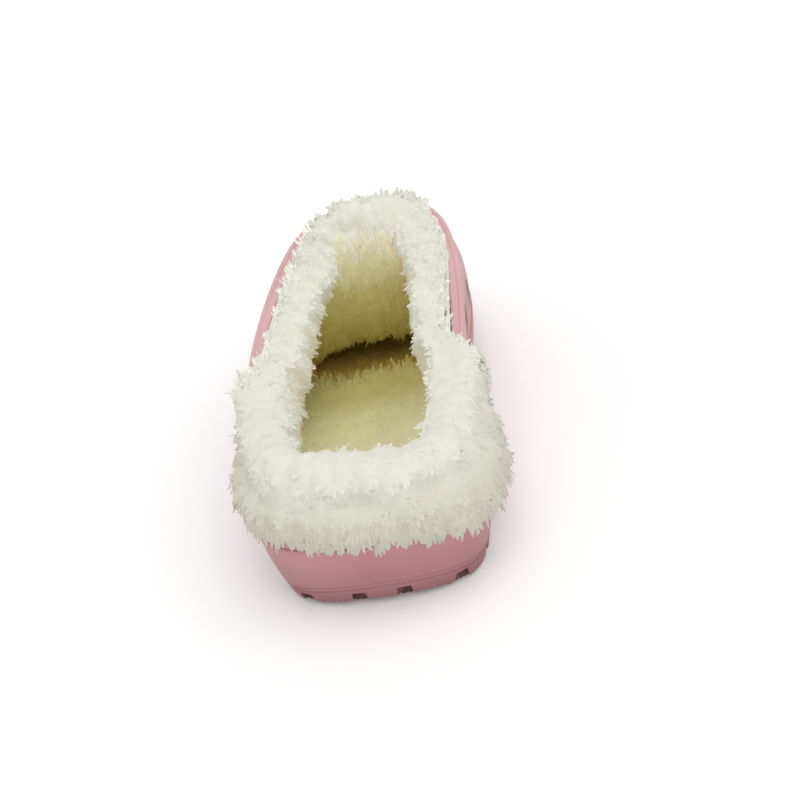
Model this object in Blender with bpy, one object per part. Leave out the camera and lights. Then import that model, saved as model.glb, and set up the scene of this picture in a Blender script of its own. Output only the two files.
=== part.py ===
"""Left mule slipper that stands on its sole: foam sole and upper, fleece insole and cuff, two side studs.

Metres, +Z up, toe towards +Y, medial (big toe) side towards +X. While the pieces are made the
heel's back is at y = 0; the root empty then puts the middle of the slipper's base at the origin.
"""

import math

import bmesh
import bpy
import numpy as np
from mathutils import Matrix, Vector

# Driving dimensions
LENGTH = 0.268  # heel back to toe tip, along the top edge of the sole
HALF_BALL = 0.052  # half of the width across the ball of the foot
INSTEP_HEIGHT = 0.102  # floor to the top of the upper's rim at the throat
WALL = 0.0038  # foam wall of the upper
GAP = 0.0003  # clearance between pieces that meet
SAMPLES = 80  # points round each ring, five for each row of the table below

# Sole
EDGE_HEIGHT = 0.027  # floor to the top edge of the sole's side wall
HEEL_EDGE_RISE = 0.0042  # how much higher that edge runs round the heel
EDGE_RISE_FROM, EDGE_RISE_TO = 0.45 * LENGTH, 0.08 * LENGTH
HEEL_ROCKER = 0.005  # lift of the heel's back edge
HEEL_FLAT_FROM = 0.07 * LENGTH
ARCH_LIFT = 0.003
ARCH_FROM, ARCH_TO = 0.36 * LENGTH, 0.50 * LENGTH
TOE_SPRING = 0.013
FOREFOOT_FLAT_TO = 0.74 * LENGTH
RIM_INSET = 0.007  # width of the sole's top rim, which carries the upper
FOOTBED_INSET = 0.0076
HEEL_BED, TOE_BED = 0.0165, 0.0130  # foam under the heel and under the toes
LUG_DEPTH = 0.0040
NOTCH_WIDTH = 0.0040

# Upper
SETBACK = 0.0012  # the sole's edge stands this far out past the upper
RIM_WIDTH = 0.009
RIM_STEP = 0.0018
EDGE_ROUND = 0.0012
OUTWARD_LEAN = math.radians(5)  # the wall starts with this flare above the sole

# Insole
INSOLE_THICK = 0.006
INSOLE_INSET = FOOTBED_INSET + 2 * GAP

# One row for each direction round the foot, heel back first, then the medial side to the toe and
# the lateral side back. x in half ball widths, y in lengths, z in instep heights.
# edge: top edge of the sole. tread: how far the tread lies inside that edge, in metres.
# collar: top of the upper's rim. arrive: slope of the upper at the rim, in degrees.
# start, end: how long the upper keeps its first and last direction, in shares of the chord.
COLUMNS = (
    "edge_x", "edge_y", "tread", "collar_x", "collar_y", "collar_z", "arrive", "start", "end",
)
AROUND = {
    "heel back":        (0.00, 0.000, 0.0100, 0.00, 0.026, 0.530, 82, 0.35, 0.35),
    "heel medial":      (0.72, 0.042, 0.0090, 0.55, 0.064, 0.515, 82, 0.35, 0.35),
    "quarter medial":   (0.86, 0.180, 0.0070, 0.70, 0.187, 0.500, 82, 0.35, 0.35),
    "waist medial":     (0.80, 0.335, 0.0110, 0.79, 0.313, 0.560, 80, 0.35, 0.35),
    "instep medial":    (0.81, 0.470, 0.0115, 0.85, 0.418, 0.735, 76, 0.33, 0.35),
    "ball medial":      (0.89, 0.610, 0.0080, 0.825, 0.485, 0.890, 62, 0.31, 0.33),
    "joint medial":     (0.93, 0.745, 0.0080, 0.695, 0.518, 0.970, 44, 0.29, 0.34),
    "toe medial":       (0.79, 0.895, 0.0110, 0.505, 0.535, 1.000, 33, 0.27, 0.37),
    "toe tip":          (0.19, 1.000, 0.0140, 0.25, 0.540, 1.005, 30, 0.26, 0.39),
    "toe lateral":      (-0.48, 0.950, 0.0120, -0.01, 0.535, 1.003, 32, 0.28, 0.37),
    "joint lateral":    (-0.88, 0.825, 0.0090, -0.25, 0.518, 0.983, 38, 0.30, 0.35),
    "ball lateral":     (-1.01, 0.680, 0.0080, -0.475, 0.485, 0.915, 48, 0.32, 0.34),
    "instep lateral":   (-0.95, 0.522, 0.0090, -0.735, 0.418, 0.745, 64, 0.35, 0.35),
    "waist lateral":    (-0.86, 0.355, 0.0095, -0.87, 0.313, 0.580, 82, 0.35, 0.35),
    "quarter lateral":  (-0.85, 0.180, 0.0090, -0.75, 0.187, 0.525, 82, 0.35, 0.35),
    "heel lateral":     (-0.70, 0.042, 0.0100, -0.55, 0.064, 0.530, 82, 0.35, 0.35),
}

# Fleece cuff, in metres, for the same directions. skirt: how far the fold hangs down outside
# (below zero it stops above the rim). reach: how far out of the wall's outer face the fold is
# hung. outside, inside: thickness of the fleece. roll: height over the rim. lining: depth inside.
CUFF_COLUMNS = ("skirt", "reach", "outside", "inside", "roll", "lining")
FOLDED = RIM_STEP + GAP
ON_RIM = -0.8 * WALL
BARE = -0.0008
CUFF = {
    "heel back":        (0.018, FOLDED, 0.0080, 0.010, 0.010, 0.021),
    "heel medial":      (0.027, FOLDED, 0.0080, 0.0090, 0.008, 0.020),
    "quarter medial":   (0.030, FOLDED, 0.0085, 0.0090, 0.008, 0.020),
    "waist medial":     (0.012, FOLDED, 0.0045, 0.0145, 0.007, 0.022),
    "instep medial":    (BARE, FOLDED, 0.0018, 0.0175, 0.006, 0.024),
    "ball medial":      (BARE, ON_RIM, 0.0018, 0.0190, 0.007, 0.026),
    "joint medial":     (BARE, ON_RIM, 0.0040, 0.0155, 0.010, 0.028),
    "toe medial":       (BARE, ON_RIM, 0.0040, 0.015, 0.012, 0.030),
    "toe tip":          (BARE, ON_RIM, 0.0040, 0.014, 0.013, 0.030),
    "toe lateral":      (BARE, ON_RIM, 0.0040, 0.014, 0.012, 0.030),
    "joint lateral":    (BARE, ON_RIM, 0.0040, 0.015, 0.009, 0.028),
    "ball lateral":     (BARE, ON_RIM, 0.0018, 0.0190, 0.006, 0.026),
    "instep lateral":   (BARE, ON_RIM, 0.0018, 0.0200, 0.006, 0.024),
    "waist lateral":    (BARE, FOLDED, 0.0015, 0.0180, 0.008, 0.022),
    "quarter lateral":  (0.014, FOLDED, 0.0078, 0.011, 0.013, 0.021),
    "heel lateral":     (0.014, FOLDED, 0.0080, 0.011, 0.013, 0.021),
}


def clear_scene():
    for thing in list(bpy.data.objects):
        bpy.data.objects.remove(thing)


def closed_spline(rows, count):
    """Smooth closed curve through the rows, sampled count times (a cubic B-spline)."""
    rows = np.asarray(rows, float)
    size = len(rows)
    here = np.eye(size)
    system = (4 * here + np.roll(here, 1, 0) + np.roll(here, -1, 0)) / 6
    control = np.linalg.solve(system, rows)
    place = np.arange(count) * size / count
    row = place.astype(int)
    f = (place - row)[:, None]
    weights = ((1 - f) ** 3, 3 * f**3 - 6 * f**2 + 4, -3 * f**3 + 3 * f**2 + 3 * f + 1, f**3)
    return sum(w * control[(row + k - 1) % size] for k, w in enumerate(weights)) / 6


def closed_ease(rows, count):
    """Values that ease from row to row with no overshoot, sampled count times round the loop."""
    rows = np.asarray(rows, float)
    size = len(rows)
    place = np.arange(count) * size / count
    row = place.astype(int)
    f = (place - row)[:, None]
    f = f * f * (3 - 2 * f)
    return rows[row] * (1 - f) + rows[(row + 1) % size] * f


def share(y, start, stop):
    """How far y lies from start to stop, from 0 to 1."""
    return np.clip((y - start) / (stop - start), 0, 1)


def toe_lift(y):
    return TOE_SPRING * share(y, FOREFOOT_FLAT_TO, LENGTH) ** 2


def bottom_z(y):
    """Underside of the tread: flat at heel and forefoot, lifted at heel back, arch and toe."""
    rocker = HEEL_ROCKER * share(y, HEEL_FLAT_FROM, 0) ** 2
    arch = ARCH_LIFT * np.sin(np.pi * share(y, ARCH_FROM, ARCH_TO)) ** 2
    return rocker + arch + toe_lift(y)


def edge_z(y):
    rise = share(y, EDGE_RISE_FROM, EDGE_RISE_TO)
    return EDGE_HEIGHT + HEEL_EDGE_RISE * rise**2 * (3 - 2 * rise) + toe_lift(y)


def bed_z(y):
    return HEEL_BED + (TOE_BED - HEEL_BED) * share(y, ARCH_FROM, FOREFOOT_FLAT_TO) + toe_lift(y)


class Last:
    """Rings round the foot at the sole's edge, and the upper's outer skin above them."""

    STEPS = 33

    def __init__(self, count):
        table = dict(zip(COLUMNS, closed_spline(list(AROUND.values()), count).T))
        self.edge = np.stack([table["edge_x"] * HALF_BALL, table["edge_y"] * LENGTH], 1)
        along = np.roll(self.edge, -1, 0) - np.roll(self.edge, 1, 0)
        along /= np.linalg.norm(along, axis=1)[:, None]
        self.outward = np.stack([along[:, 1], -along[:, 0]], 1)
        self.tread_inset = table["tread"]
        collar = np.stack(
            [
                table["collar_x"] * HALF_BALL,
                table["collar_y"] * LENGTH,
                table["collar_z"] * INSTEP_HEIGHT,
            ],
            1,
        )
        self.skin = self.meridians(collar, np.radians(table["arrive"]), table["start"], table["end"])
        run = np.linalg.norm(np.diff(self.skin, axis=1), axis=2)
        self.depth = np.zeros(self.skin.shape[:2])
        self.depth[:, :-1] = run[:, ::-1].cumsum(1)[:, ::-1]
        around = np.roll(self.skin, -1, 0) - np.roll(self.skin, 1, 0)
        normal = np.cross(around, np.gradient(self.skin, axis=1))
        self.normal = normal / np.linalg.norm(normal, axis=2)[:, :, None]
        last_step = self.skin[:, -1] - self.skin[:, -2]
        self.rise = last_step / np.linalg.norm(last_step, axis=1)[:, None]
        self.full_depth = self.depth[:, 0]

    def ring(self, inset, height):
        """Ring inside the sole's edge; height is a function of y."""
        plan = self.edge - np.reshape(inset, (-1, 1)) * self.outward
        return np.column_stack([plan, height(plan[:, 1])])

    def meridians(self, collar, arrive, start, end):
        """Curves from the sole's edge up to the collar, one for each direction round the foot."""
        foot = self.ring(SETBACK, lambda y: edge_z(y) + GAP)
        chord = np.linalg.norm(collar - foot, axis=1)[:, None]
        inward = collar[:, :2] - foot[:, :2]
        inward /= np.linalg.norm(inward, axis=1)[:, None]
        leave = np.column_stack(
            [self.outward * math.sin(OUTWARD_LEAN), np.full(len(foot), math.cos(OUTWARD_LEAN))]
        )
        reach = np.column_stack([inward * np.cos(arrive)[:, None], np.sin(arrive)])
        first = foot + leave * chord * start[:, None]
        second = collar - reach * chord * end[:, None]
        t = np.linspace(0, 1, self.STEPS)[None, :, None]
        foot, first, second, collar = (p[:, None, :] for p in (foot, first, second, collar))
        return (
            foot * (1 - t) ** 3 + 3 * first * t * (1 - t) ** 2 + 3 * second * t**2 * (1 - t) + collar * t**3
        )

    def on_upper(self, down, out):
        """Ring on the upper's skin: down is the distance below the collar, out the offset outwards.

        Above the collar and below the sole's edge the ring goes on straight.
        """
        count = len(self.skin)
        down = np.broadcast_to(down, count)
        out = np.broadcast_to(out, count)
        points = np.empty((count, 3))
        for i in range(count):
            spot = [np.interp(down[i], self.depth[i, ::-1], self.skin[i, ::-1, k]) for k in range(3)]
            face = [np.interp(down[i], self.depth[i, ::-1], self.normal[i, ::-1, k]) for k in range(3)]
            above = max(-down[i], 0) * self.rise[i]
            below = max(down[i] - self.full_depth[i], 0) * np.array([0, 0, -1])
            points[i] = np.array(spot) + above + below + out[i] * np.array(face)
        return points


def cuff_sizes():
    return dict(zip(CUFF_COLUMNS, closed_ease(list(CUFF.values()), SAMPLES).T))


def add_rings(bm, rings, closed):
    """Skins consecutive rings; a closed set also joins the last ring to the first."""
    loops = [[bm.verts.new(p) for p in ring] for ring in rings]
    pairs = list(zip(loops, loops[1:] + loops[:1])) if closed else list(zip(loops, loops[1:]))
    faces = []
    for low, high in pairs:
        for i, corner in enumerate(low):
            j = (i + 1) % len(low)
            faces.append(bm.faces.new((corner, low[j], high[j], high[i])))
    return loops, faces


def fill_across(bm, loop):
    """Closes a loop with strips from its medial to its lateral side."""
    size = len(loop)
    half = size // 2
    bm.faces.new((loop[0], loop[1], loop[-1]))
    for i in range(1, half - 1):
        bm.faces.new((loop[i], loop[i + 1], loop[size - i - 1], loop[size - i]))
    bm.faces.new((loop[half - 1], loop[half], loop[half + 1]))


def split_quads(bm):
    """Splits bent quads along their shorter diagonal, so that skins which face each other agree."""
    bmesh.ops.triangulate(bm, faces=bm.faces, quad_method="SHORT_EDGE")


def finish_object(bm, name, smooth_angle=35):
    """Turns the faces outwards and makes a smooth-shaded object of them."""
    bmesh.ops.recalc_face_normals(bm, faces=bm.faces)
    mesh = bpy.data.meshes.new(name)
    bm.to_mesh(mesh)
    bm.free()
    mesh.shade_smooth()
    mesh.set_sharp_from_angle(angle=math.radians(smooth_angle))
    made = bpy.data.objects.new(name, mesh)
    bpy.context.scene.collection.objects.link(made)
    return made


def paint(made, colour, roughness):
    material = bpy.data.materials.new(made.name + "_finish")
    material.use_nodes = True
    shader = material.node_tree.nodes["Principled BSDF"]
    shader.inputs["Base Color"].default_value = (*colour, 1)
    shader.inputs["Roughness"].default_value = roughness
    shader.inputs["Metallic"].default_value = 0
    made.data.materials.append(material)


def cut(made, cutter):
    """Takes the cutter's form out of the piece."""
    cutter.hide_render = True
    cutter.display_type = "WIRE"
    boolean = made.modifiers.new(cutter.name, "BOOLEAN")
    boolean.operation = "DIFFERENCE"
    boolean.object = cutter


def add_strip(bm, path, width, low, high):
    """Upright strip of the given width along a path in plan, from low to high at each point."""
    path = np.asarray(path, float)
    along = np.gradient(path, axis=0)
    along /= np.linalg.norm(along, axis=1)[:, None]
    side = np.stack([-along[:, 1], along[:, 0]], 1) * width / 2
    rims = []
    for plan, z in ((path + side, low), (path - side, low), (path - side, high), (path + side, high)):
        rims.append([bm.verts.new((x, y, h)) for (x, y), h in zip(plan, np.broadcast_to(z, len(path)))])
    for first, second in zip(rims, rims[1:] + rims[:1]):
        for i in range(len(path) - 1):
            bm.faces.new((first[i], first[i + 1], second[i + 1], second[i]))
    for end in (0, -1):
        bm.faces.new([rim[end] for rim in rims])


def make_tread_cutter(last):
    """Notches round the edge of the tread, and curved grooves across heel and forefoot."""
    notch_step = 3
    notch_in, notch_out = 0.0010, 0.012
    notch_depth = 0.0052
    below = 0.003
    groove_width = 0.0036
    groove_sag = 0.006
    heel_grooves = (0.13, 0.18, 0.23, 0.28)
    forefoot_grooves = (0.54, 0.59, 0.64, 0.69, 0.74, 0.79)
    bm = bmesh.new()
    tread = last.ring(last.tread_inset, bottom_z)
    for i in range(1, SAMPLES, notch_step):
        ends = np.array([tread[i, :2] - last.outward[i] * notch_in, tread[i, :2] + last.outward[i] * notch_out])
        base = bottom_z(np.array([ends[0, 1], tread[i, 1]]))
        add_strip(bm, ends, NOTCH_WIDTH, base.min() - below, base.max() + notch_depth)
    edge_clear = last.tread_inset.max() + 2 * groove_width
    for y_share in heel_grooves + forefoot_grooves:
        y = y_share * LENGTH
        right = np.interp(y, last.edge[: SAMPLES // 2, 1], last.edge[: SAMPLES // 2, 0])
        left = np.interp(y, last.edge[SAMPLES // 2 :, 1][::-1], last.edge[SAMPLES // 2 :, 0][::-1])
        x = np.linspace(left + edge_clear, right - edge_clear, 7)
        bend = 1 - ((x - x.mean()) / np.ptp(x) * 2) ** 2
        path = np.stack([x, y + groove_sag * (bend - 0.5)], 1)
        base = bottom_z(path[:, 1])
        add_strip(bm, path, groove_width, base - below, base + LUG_DEPTH)
    return finish_object(bm, "tread_grooves")


def make_sole(last):
    """Cup sole: tread, bevel, side groove, flared wall, rim under the upper and footbed recess."""
    bevel_rise, lug_rise, outsole_rise = 0.0008, 0.0034, 0.0066
    groove_rise, line_rise, wall_rise = 0.0074, 0.0088, 0.0190
    tread = last.tread_inset
    bm = bmesh.new()
    rings = [
        last.ring(tread, bottom_z),
        last.ring(tread * 0.66, lambda y: bottom_z(y) + bevel_rise),
        last.ring(tread * 0.53, lambda y: bottom_z(y) + lug_rise),
        last.ring(tread * 0.42, lambda y: bottom_z(y) + outsole_rise),
        last.ring(tread * 0.42 + 0.0010, lambda y: bottom_z(y) + groove_rise),
        last.ring(tread * 0.34, lambda y: bottom_z(y) + line_rise),
        last.ring(tread * 0.10, lambda y: bottom_z(y) + wall_rise),
        last.ring(0, lambda y: edge_z(y) - EDGE_ROUND),
        last.ring(EDGE_ROUND * 0.7, edge_z),
        last.ring(RIM_INSET, edge_z),
        last.ring(FOOTBED_INSET, bed_z),
    ]
    loops, _ = add_rings(bm, rings, closed=False)
    fill_across(bm, loops[0])
    fill_across(bm, loops[-1])
    sole = finish_object(bm, "sole")
    cut(sole, make_tread_cutter(last))
    paint(sole, (0.52, 0.24, 0.27), 0.6)
    return sole


def make_vent_cutter(last):
    """Upright slots through the side walls, a row on each side of the forefoot."""
    width, height = 0.009, 0.015
    above_sole = 0.013
    directions = (23, 27, 31, 49, 53, 57)
    corner_points = 12
    bm = bmesh.new()
    for i in directions:
        down = last.full_depth[i] - above_sole
        everywhere = np.full(SAMPLES, down)
        middle = last.on_upper(everywhere, 0)[i]
        face = last.on_upper(everywhere, 1)[i] - middle
        lower = last.on_upper(everywhere + 0.002, 0)[i]
        up = middle - lower
        up /= np.linalg.norm(up)
        across = np.cross(up, face)
        rims = []
        for out in (-0.010, 0.008):
            rim = []
            for k in range(corner_points):
                a = 2 * math.pi * (k + 0.5) / corner_points
                flat = math.copysign(abs(math.cos(a)) ** 0.7, math.cos(a)) * width / 2
                tall = math.copysign(abs(math.sin(a)) ** 0.7, math.sin(a)) * height / 2
                rim.append(bm.verts.new(middle + face * out + across * flat + up * tall))
            rims.append(rim)
        for k in range(corner_points):
            j = (k + 1) % corner_points
            bm.faces.new((rims[0][k], rims[0][j], rims[1][j], rims[1][k]))
        for rim in rims:
            bm.faces.new(rim)
    return finish_object(bm, "vents")


def make_upper(last):
    """Hollow foam upper from the sole's rim to the collar, with a raised rim along the collar."""
    outer_shares = (1.0, 0.88, 0.74, 0.60, 0.46, 0.32, 0.16, 0.0)
    inner_shares = (0.0, 0.25, 0.5, 0.75, 1.0)
    lining = cuff_sizes()["lining"]

    def down(part, start):
        return start + (last.full_depth - start) * part

    def seat(ring):
        ring[:, 2] = edge_z(ring[:, 1]) + GAP
        return ring

    rings = [last.on_upper(down(part, RIM_WIDTH), 0) for part in outer_shares]
    rings += [
        last.on_upper(RIM_WIDTH - RIM_STEP / 2, RIM_STEP),
        last.on_upper(EDGE_ROUND, RIM_STEP),
        last.on_upper(0, RIM_STEP - EDGE_ROUND),
        last.on_upper(0, EDGE_ROUND - WALL),
        last.on_upper(EDGE_ROUND, -WALL),
        last.on_upper(0.5 * lining, -WALL),
    ]
    rings += [last.on_upper(down(part, lining), -WALL) for part in inner_shares]
    seat(rings[0])
    seat(rings[-1])
    bm = bmesh.new()
    add_rings(bm, rings, closed=True)
    split_quads(bm)
    upper = finish_object(bm, "upper")
    cut(upper, make_vent_cutter(last))
    paint(upper, (0.58, 0.28, 0.31), 0.45)
    return upper


def make_insole(last):
    """Fleece footbed that fills the sole's recess."""
    round_over = 0.0015
    bm = bmesh.new()
    rings = [
        last.ring(INSOLE_INSET, lambda y: bed_z(y) + GAP),
        last.ring(INSOLE_INSET, lambda y: bed_z(y) + INSOLE_THICK - round_over),
        last.ring(INSOLE_INSET + round_over, lambda y: bed_z(y) + INSOLE_THICK),
    ]
    loops, _ = add_rings(bm, rings, closed=False)
    fill_across(bm, loops[0])
    fill_across(bm, loops[-1])
    insole = finish_object(bm, "insole")
    paint(insole, (0.62, 0.58, 0.42), 0.9)
    return insole


def make_fleece_cuff(last):
    """Fleece roll hung over the collar, its locks drawn out of the same surface."""
    lock_length = 0.0035
    fringe_length = 0.0060
    lock_share = 0.28
    size = cuff_sizes()
    skirt, reach, outside, inside = (size[name] for name in CUFF_COLUMNS[:4])
    roll, lining = size["roll"], size["lining"]
    within = -WALL - GAP
    rings = [
        last.on_upper(skirt, reach + 0.35 * outside),
        last.on_upper(0.90 * skirt, reach + 0.75 * outside),
        last.on_upper(0.62 * skirt, reach + outside),
        last.on_upper(0.25 * skirt, reach + 0.95 * outside),
        last.on_upper(-0.45 * roll, reach + 0.70 * outside),
        last.on_upper(-0.95 * roll, reach + 0.10 * outside),
        last.on_upper(-0.95 * roll, within - 0.40 * inside),
        last.on_upper(-0.45 * roll, within - 0.85 * inside),
        last.on_upper(0.25 * lining, within - inside),
        last.on_upper(0.70 * lining, within - 0.92 * inside),
        last.on_upper(lining, within - 0.55 * inside),
        last.on_upper(lining, within),
        last.on_upper(0.5 * lining, within),
        last.on_upper(EDGE_ROUND, within),
        last.on_upper(-GAP, within),
        last.on_upper(-GAP, reach),
        last.on_upper(0.5 * (skirt - GAP), reach),
        last.on_upper(skirt, reach),
    ]
    skirt_bands, outer_bands = 4, 10
    bm = bmesh.new()
    _, faces = add_rings(bm, rings, closed=True)
    bmesh.ops.recalc_face_normals(bm, faces=bm.faces)
    draw = np.random.default_rng(7)
    hang = Vector((0, 0, -1))
    folded = np.minimum(skirt, np.roll(skirt, -1)) > 0.010
    fringe = [f for f, hangs in zip(faces[-SAMPLES:], folded) if hangs]
    wooly = np.concatenate([np.tile(folded, skirt_bands), np.ones((outer_bands - skirt_bands) * SAMPLES, bool)])
    pile = [f for f, grows in zip(faces, wooly) if grows and draw.random() < lock_share]
    for group, length, droop in ((pile, lock_length, 0.5), (fringe, fringe_length, 0.0)):
        for face in group:
            way = (face.normal + hang * droop).normalized()
            tip = bmesh.ops.poke(bm, faces=[face])["verts"][0]
            tip.co += way * length * draw.uniform(0.6, 1.0)
    split_quads(bm)
    cuff = finish_object(bm, "fleece_cuff", smooth_angle=60)
    paint(cuff, (0.80, 0.78, 0.68), 0.95)
    return cuff


def make_stud(last, name, direction, down):
    """Plain domed stud on the side wall, where the fold of the cuff ends."""
    radius, dome, plate = 0.0058, 0.0016, 0.0012
    sides = 20
    everywhere = np.full(SAMPLES, down)
    seat = last.on_upper(everywhere, GAP)[direction]
    face = Vector(last.on_upper(everywhere, 1)[direction] - last.on_upper(everywhere, 0)[direction])
    profile = ((radius, 0), (radius, plate), (radius * 0.8, plate + dome * 0.6), (radius * 0.4, plate + dome))
    bm = bmesh.new()
    rings = [
        [(r * math.cos(2 * math.pi * k / sides), r * math.sin(2 * math.pi * k / sides), z) for k in range(sides)]
        for r, z in profile
    ]
    loops, _ = add_rings(bm, rings, closed=False)
    bm.faces.new(loops[0])
    bm.faces.new(loops[-1])
    stud = finish_object(bm, name)
    stud.matrix_world = Matrix.Translation(seat) @ face.to_track_quat("Z", "Y").to_matrix().to_4x4()
    paint(stud, (0.06, 0.06, 0.06), 0.4)
    return stud


def stand_on_origin(pieces):
    """Hangs the pieces on an empty that puts the middle of their base at the origin."""
    bpy.context.view_layer.update()
    corners = np.array([piece.matrix_world @ vert.co for piece in pieces for vert in piece.data.vertices])
    low, high = corners.min(0), corners.max(0)
    root = bpy.data.objects.new("slipper", None)
    bpy.context.scene.collection.objects.link(root)
    root.location = (-(low[0] + high[0]) / 2, -(low[1] + high[1]) / 2, -low[2])
    for piece in bpy.data.objects:
        if piece is not root:
            piece.parent = root


def main():
    clear_scene()
    last = Last(SAMPLES)
    pieces = [
        make_sole(last),
        make_upper(last),
        make_insole(last),
        make_fleece_cuff(last),
        make_stud(last, "side_stud_medial", 17, 0.017),
        make_stud(last, "side_stud_lateral", 63, 0.017),
    ]
    stand_on_origin(pieces)


main()
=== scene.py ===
"""Looks of a left mule slipper in pink moulded foam with cream fleece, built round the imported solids.

Metres. Pieces are worked out with the heel's back at y = 0, toe towards +Y and the medial side
towards +X, and are then set on the frame by the sole's own box.
"""

import math

import bmesh
import bpy
import numpy as np
from mathutils import Matrix, Vector, noise


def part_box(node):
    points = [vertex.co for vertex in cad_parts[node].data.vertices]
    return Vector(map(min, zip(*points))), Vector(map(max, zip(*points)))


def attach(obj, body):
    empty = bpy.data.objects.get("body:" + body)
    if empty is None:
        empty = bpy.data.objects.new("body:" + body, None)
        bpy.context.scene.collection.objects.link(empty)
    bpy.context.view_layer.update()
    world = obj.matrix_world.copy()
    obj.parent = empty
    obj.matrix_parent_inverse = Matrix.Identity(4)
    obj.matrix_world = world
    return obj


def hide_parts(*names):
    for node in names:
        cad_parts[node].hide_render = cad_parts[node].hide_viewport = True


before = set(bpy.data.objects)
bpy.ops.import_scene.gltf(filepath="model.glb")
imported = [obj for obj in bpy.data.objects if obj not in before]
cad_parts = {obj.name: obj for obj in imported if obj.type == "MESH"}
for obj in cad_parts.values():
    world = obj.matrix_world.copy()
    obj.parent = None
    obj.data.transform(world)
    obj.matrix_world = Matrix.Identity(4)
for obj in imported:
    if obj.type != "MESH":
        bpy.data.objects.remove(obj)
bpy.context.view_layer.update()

# Sole. One moulding of closed-cell foam in dusty pink, with the satin skin of its mould.
# The side flares up to a parting edge, two fine grooves run above the lugs, and the edge of the
# tread is ribbed. The upper is bonded on its rim and the insole lies in its recess.
LENGTH = 0.268
HALF_BALL = 0.052
GAP = 0.0003
TINY = 1e-12
COUNT = 640
CAD_STEP = 8
EDGE_HEIGHT = 0.027
HEEL_EDGE_RISE = 0.0042
EDGE_RISE_FROM, EDGE_RISE_TO = 0.45 * LENGTH, 0.08 * LENGTH
HEEL_ROCKER = 0.005
HEEL_FLAT_FROM = 0.07 * LENGTH
ARCH_LIFT = 0.003
ARCH_FROM, ARCH_TO = 0.36 * LENGTH, 0.50 * LENGTH
TOE_SPRING = 0.013
FOREFOOT_FLAT_TO = 0.74 * LENGTH
RIM_INSET = 0.007
FOOTBED_INSET = 0.0076
HEEL_BED, TOE_BED = 0.0165, 0.0130
EDGE_ROUND = 0.0008
EDGE_ROUND_INSET = 0.7 * EDGE_ROUND
RIB_DEPTH, RIB_POINTS = 0.0010, 2.5
SOLE_SHARP = 30
RIBBED = {"tread edge": 1.0, "rib": 1.0, "rib top": 0.4}

# One row for each direction round the foot, heel back first, then medial side, toe, lateral side.
# edge_x in half ball widths, edge_y in lengths, tread: inset of the tread in metres.
EDGE = {
    "heel back":        (0.00, 0.000, 0.0100),
    "heel medial":      (0.72, 0.042, 0.0090),
    "quarter medial":   (0.86, 0.180, 0.0070),
    "waist medial":     (0.80, 0.335, 0.0110),
    "instep medial":    (0.81, 0.470, 0.0115),
    "ball medial":      (0.89, 0.610, 0.0080),
    "joint medial":     (0.93, 0.745, 0.0080),
    "toe medial":       (0.79, 0.895, 0.0110),
    "toe tip":          (0.19, 1.000, 0.0140),
    "toe lateral":      (-0.48, 0.950, 0.0120),
    "joint lateral":    (-0.88, 0.825, 0.0090),
    "ball lateral":     (-1.01, 0.680, 0.0080),
    "instep lateral":   (-0.95, 0.522, 0.0090),
    "waist lateral":    (-0.86, 0.355, 0.0095),
    "quarter lateral":  (-0.85, 0.180, 0.0090),
    "heel lateral":     (-0.70, 0.042, 0.0100),
}

# Side of the sole from the tread up: share of the tread's inset, further inset, height, in metres.
SOLE_SIDE = {
    "rib end":          (1.00, 0.0000, 0.0000),
    "tread edge":       (0.78, 0.0000, 0.0003),
    "rib":              (0.66, 0.0000, 0.0006),
    "rib top":          (0.58, 0.0000, 0.0018),
    "lug":              (0.53, 0.0000, 0.0034),
    "lug face":         (0.49, 0.0000, 0.0050),
    "lug top":          (0.45, 0.0000, 0.0062),
    "groove lip":       (0.44, 0.0002, 0.0065),
    "groove":           (0.43, 0.0005, 0.0069),
    "ridge foot":       (0.42, 0.0002, 0.0074),
    "ridge":            (0.40, 0.0000, 0.0079),
    "ridge top":        (0.38, 0.0000, 0.0086),
    "second groove":    (0.37, 0.0003, 0.0090),
    "wall foot":        (0.35, 0.0000, 0.0095),
}
WALL_STEPS = 12
WALL_SWEEP = 1.6


def closed_spline(rows, count):
    """Smooth closed curve through the rows, sampled count times (a cubic B-spline)."""
    rows = np.asarray(rows, float)
    size = len(rows)
    here = np.eye(size)
    system = (4 * here + np.roll(here, 1, 0) + np.roll(here, -1, 0)) / 6
    control = np.linalg.solve(system, rows)
    place = np.arange(count) * size / count
    row = place.astype(int)
    f = (place - row)[:, None]
    weights = ((1 - f) ** 3, 3 * f**3 - 6 * f**2 + 4, -3 * f**3 + 3 * f**2 + 3 * f + 1, f**3)
    return sum(w * control[(row + k - 1) % size] for k, w in enumerate(weights)) / 6


def share(value, start, stop):
    """How far value lies from start to stop, from 0 to 1."""
    return np.clip((value - start) / (stop - start), 0, 1)


def ease(part):
    return part * part * (3 - 2 * part)


def unit(vectors):
    return vectors / np.maximum(np.linalg.norm(vectors, axis=-1, keepdims=True), TINY)


def toe_lift(y):
    return TOE_SPRING * share(y, FOREFOOT_FLAT_TO, LENGTH) ** 2


def bottom_z(y):
    rocker = HEEL_ROCKER * share(y, HEEL_FLAT_FROM, 0) ** 2
    arch = ARCH_LIFT * np.sin(np.pi * share(y, ARCH_FROM, ARCH_TO)) ** 2
    return rocker + arch + toe_lift(y)


def edge_z(y):
    return EDGE_HEIGHT + HEEL_EDGE_RISE * ease(share(y, EDGE_RISE_FROM, EDGE_RISE_TO)) + toe_lift(y)


def bed_z(y):
    return HEEL_BED + (TOE_BED - HEEL_BED) * share(y, ARCH_FROM, FOREFOOT_FLAT_TO) + toe_lift(y)


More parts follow.
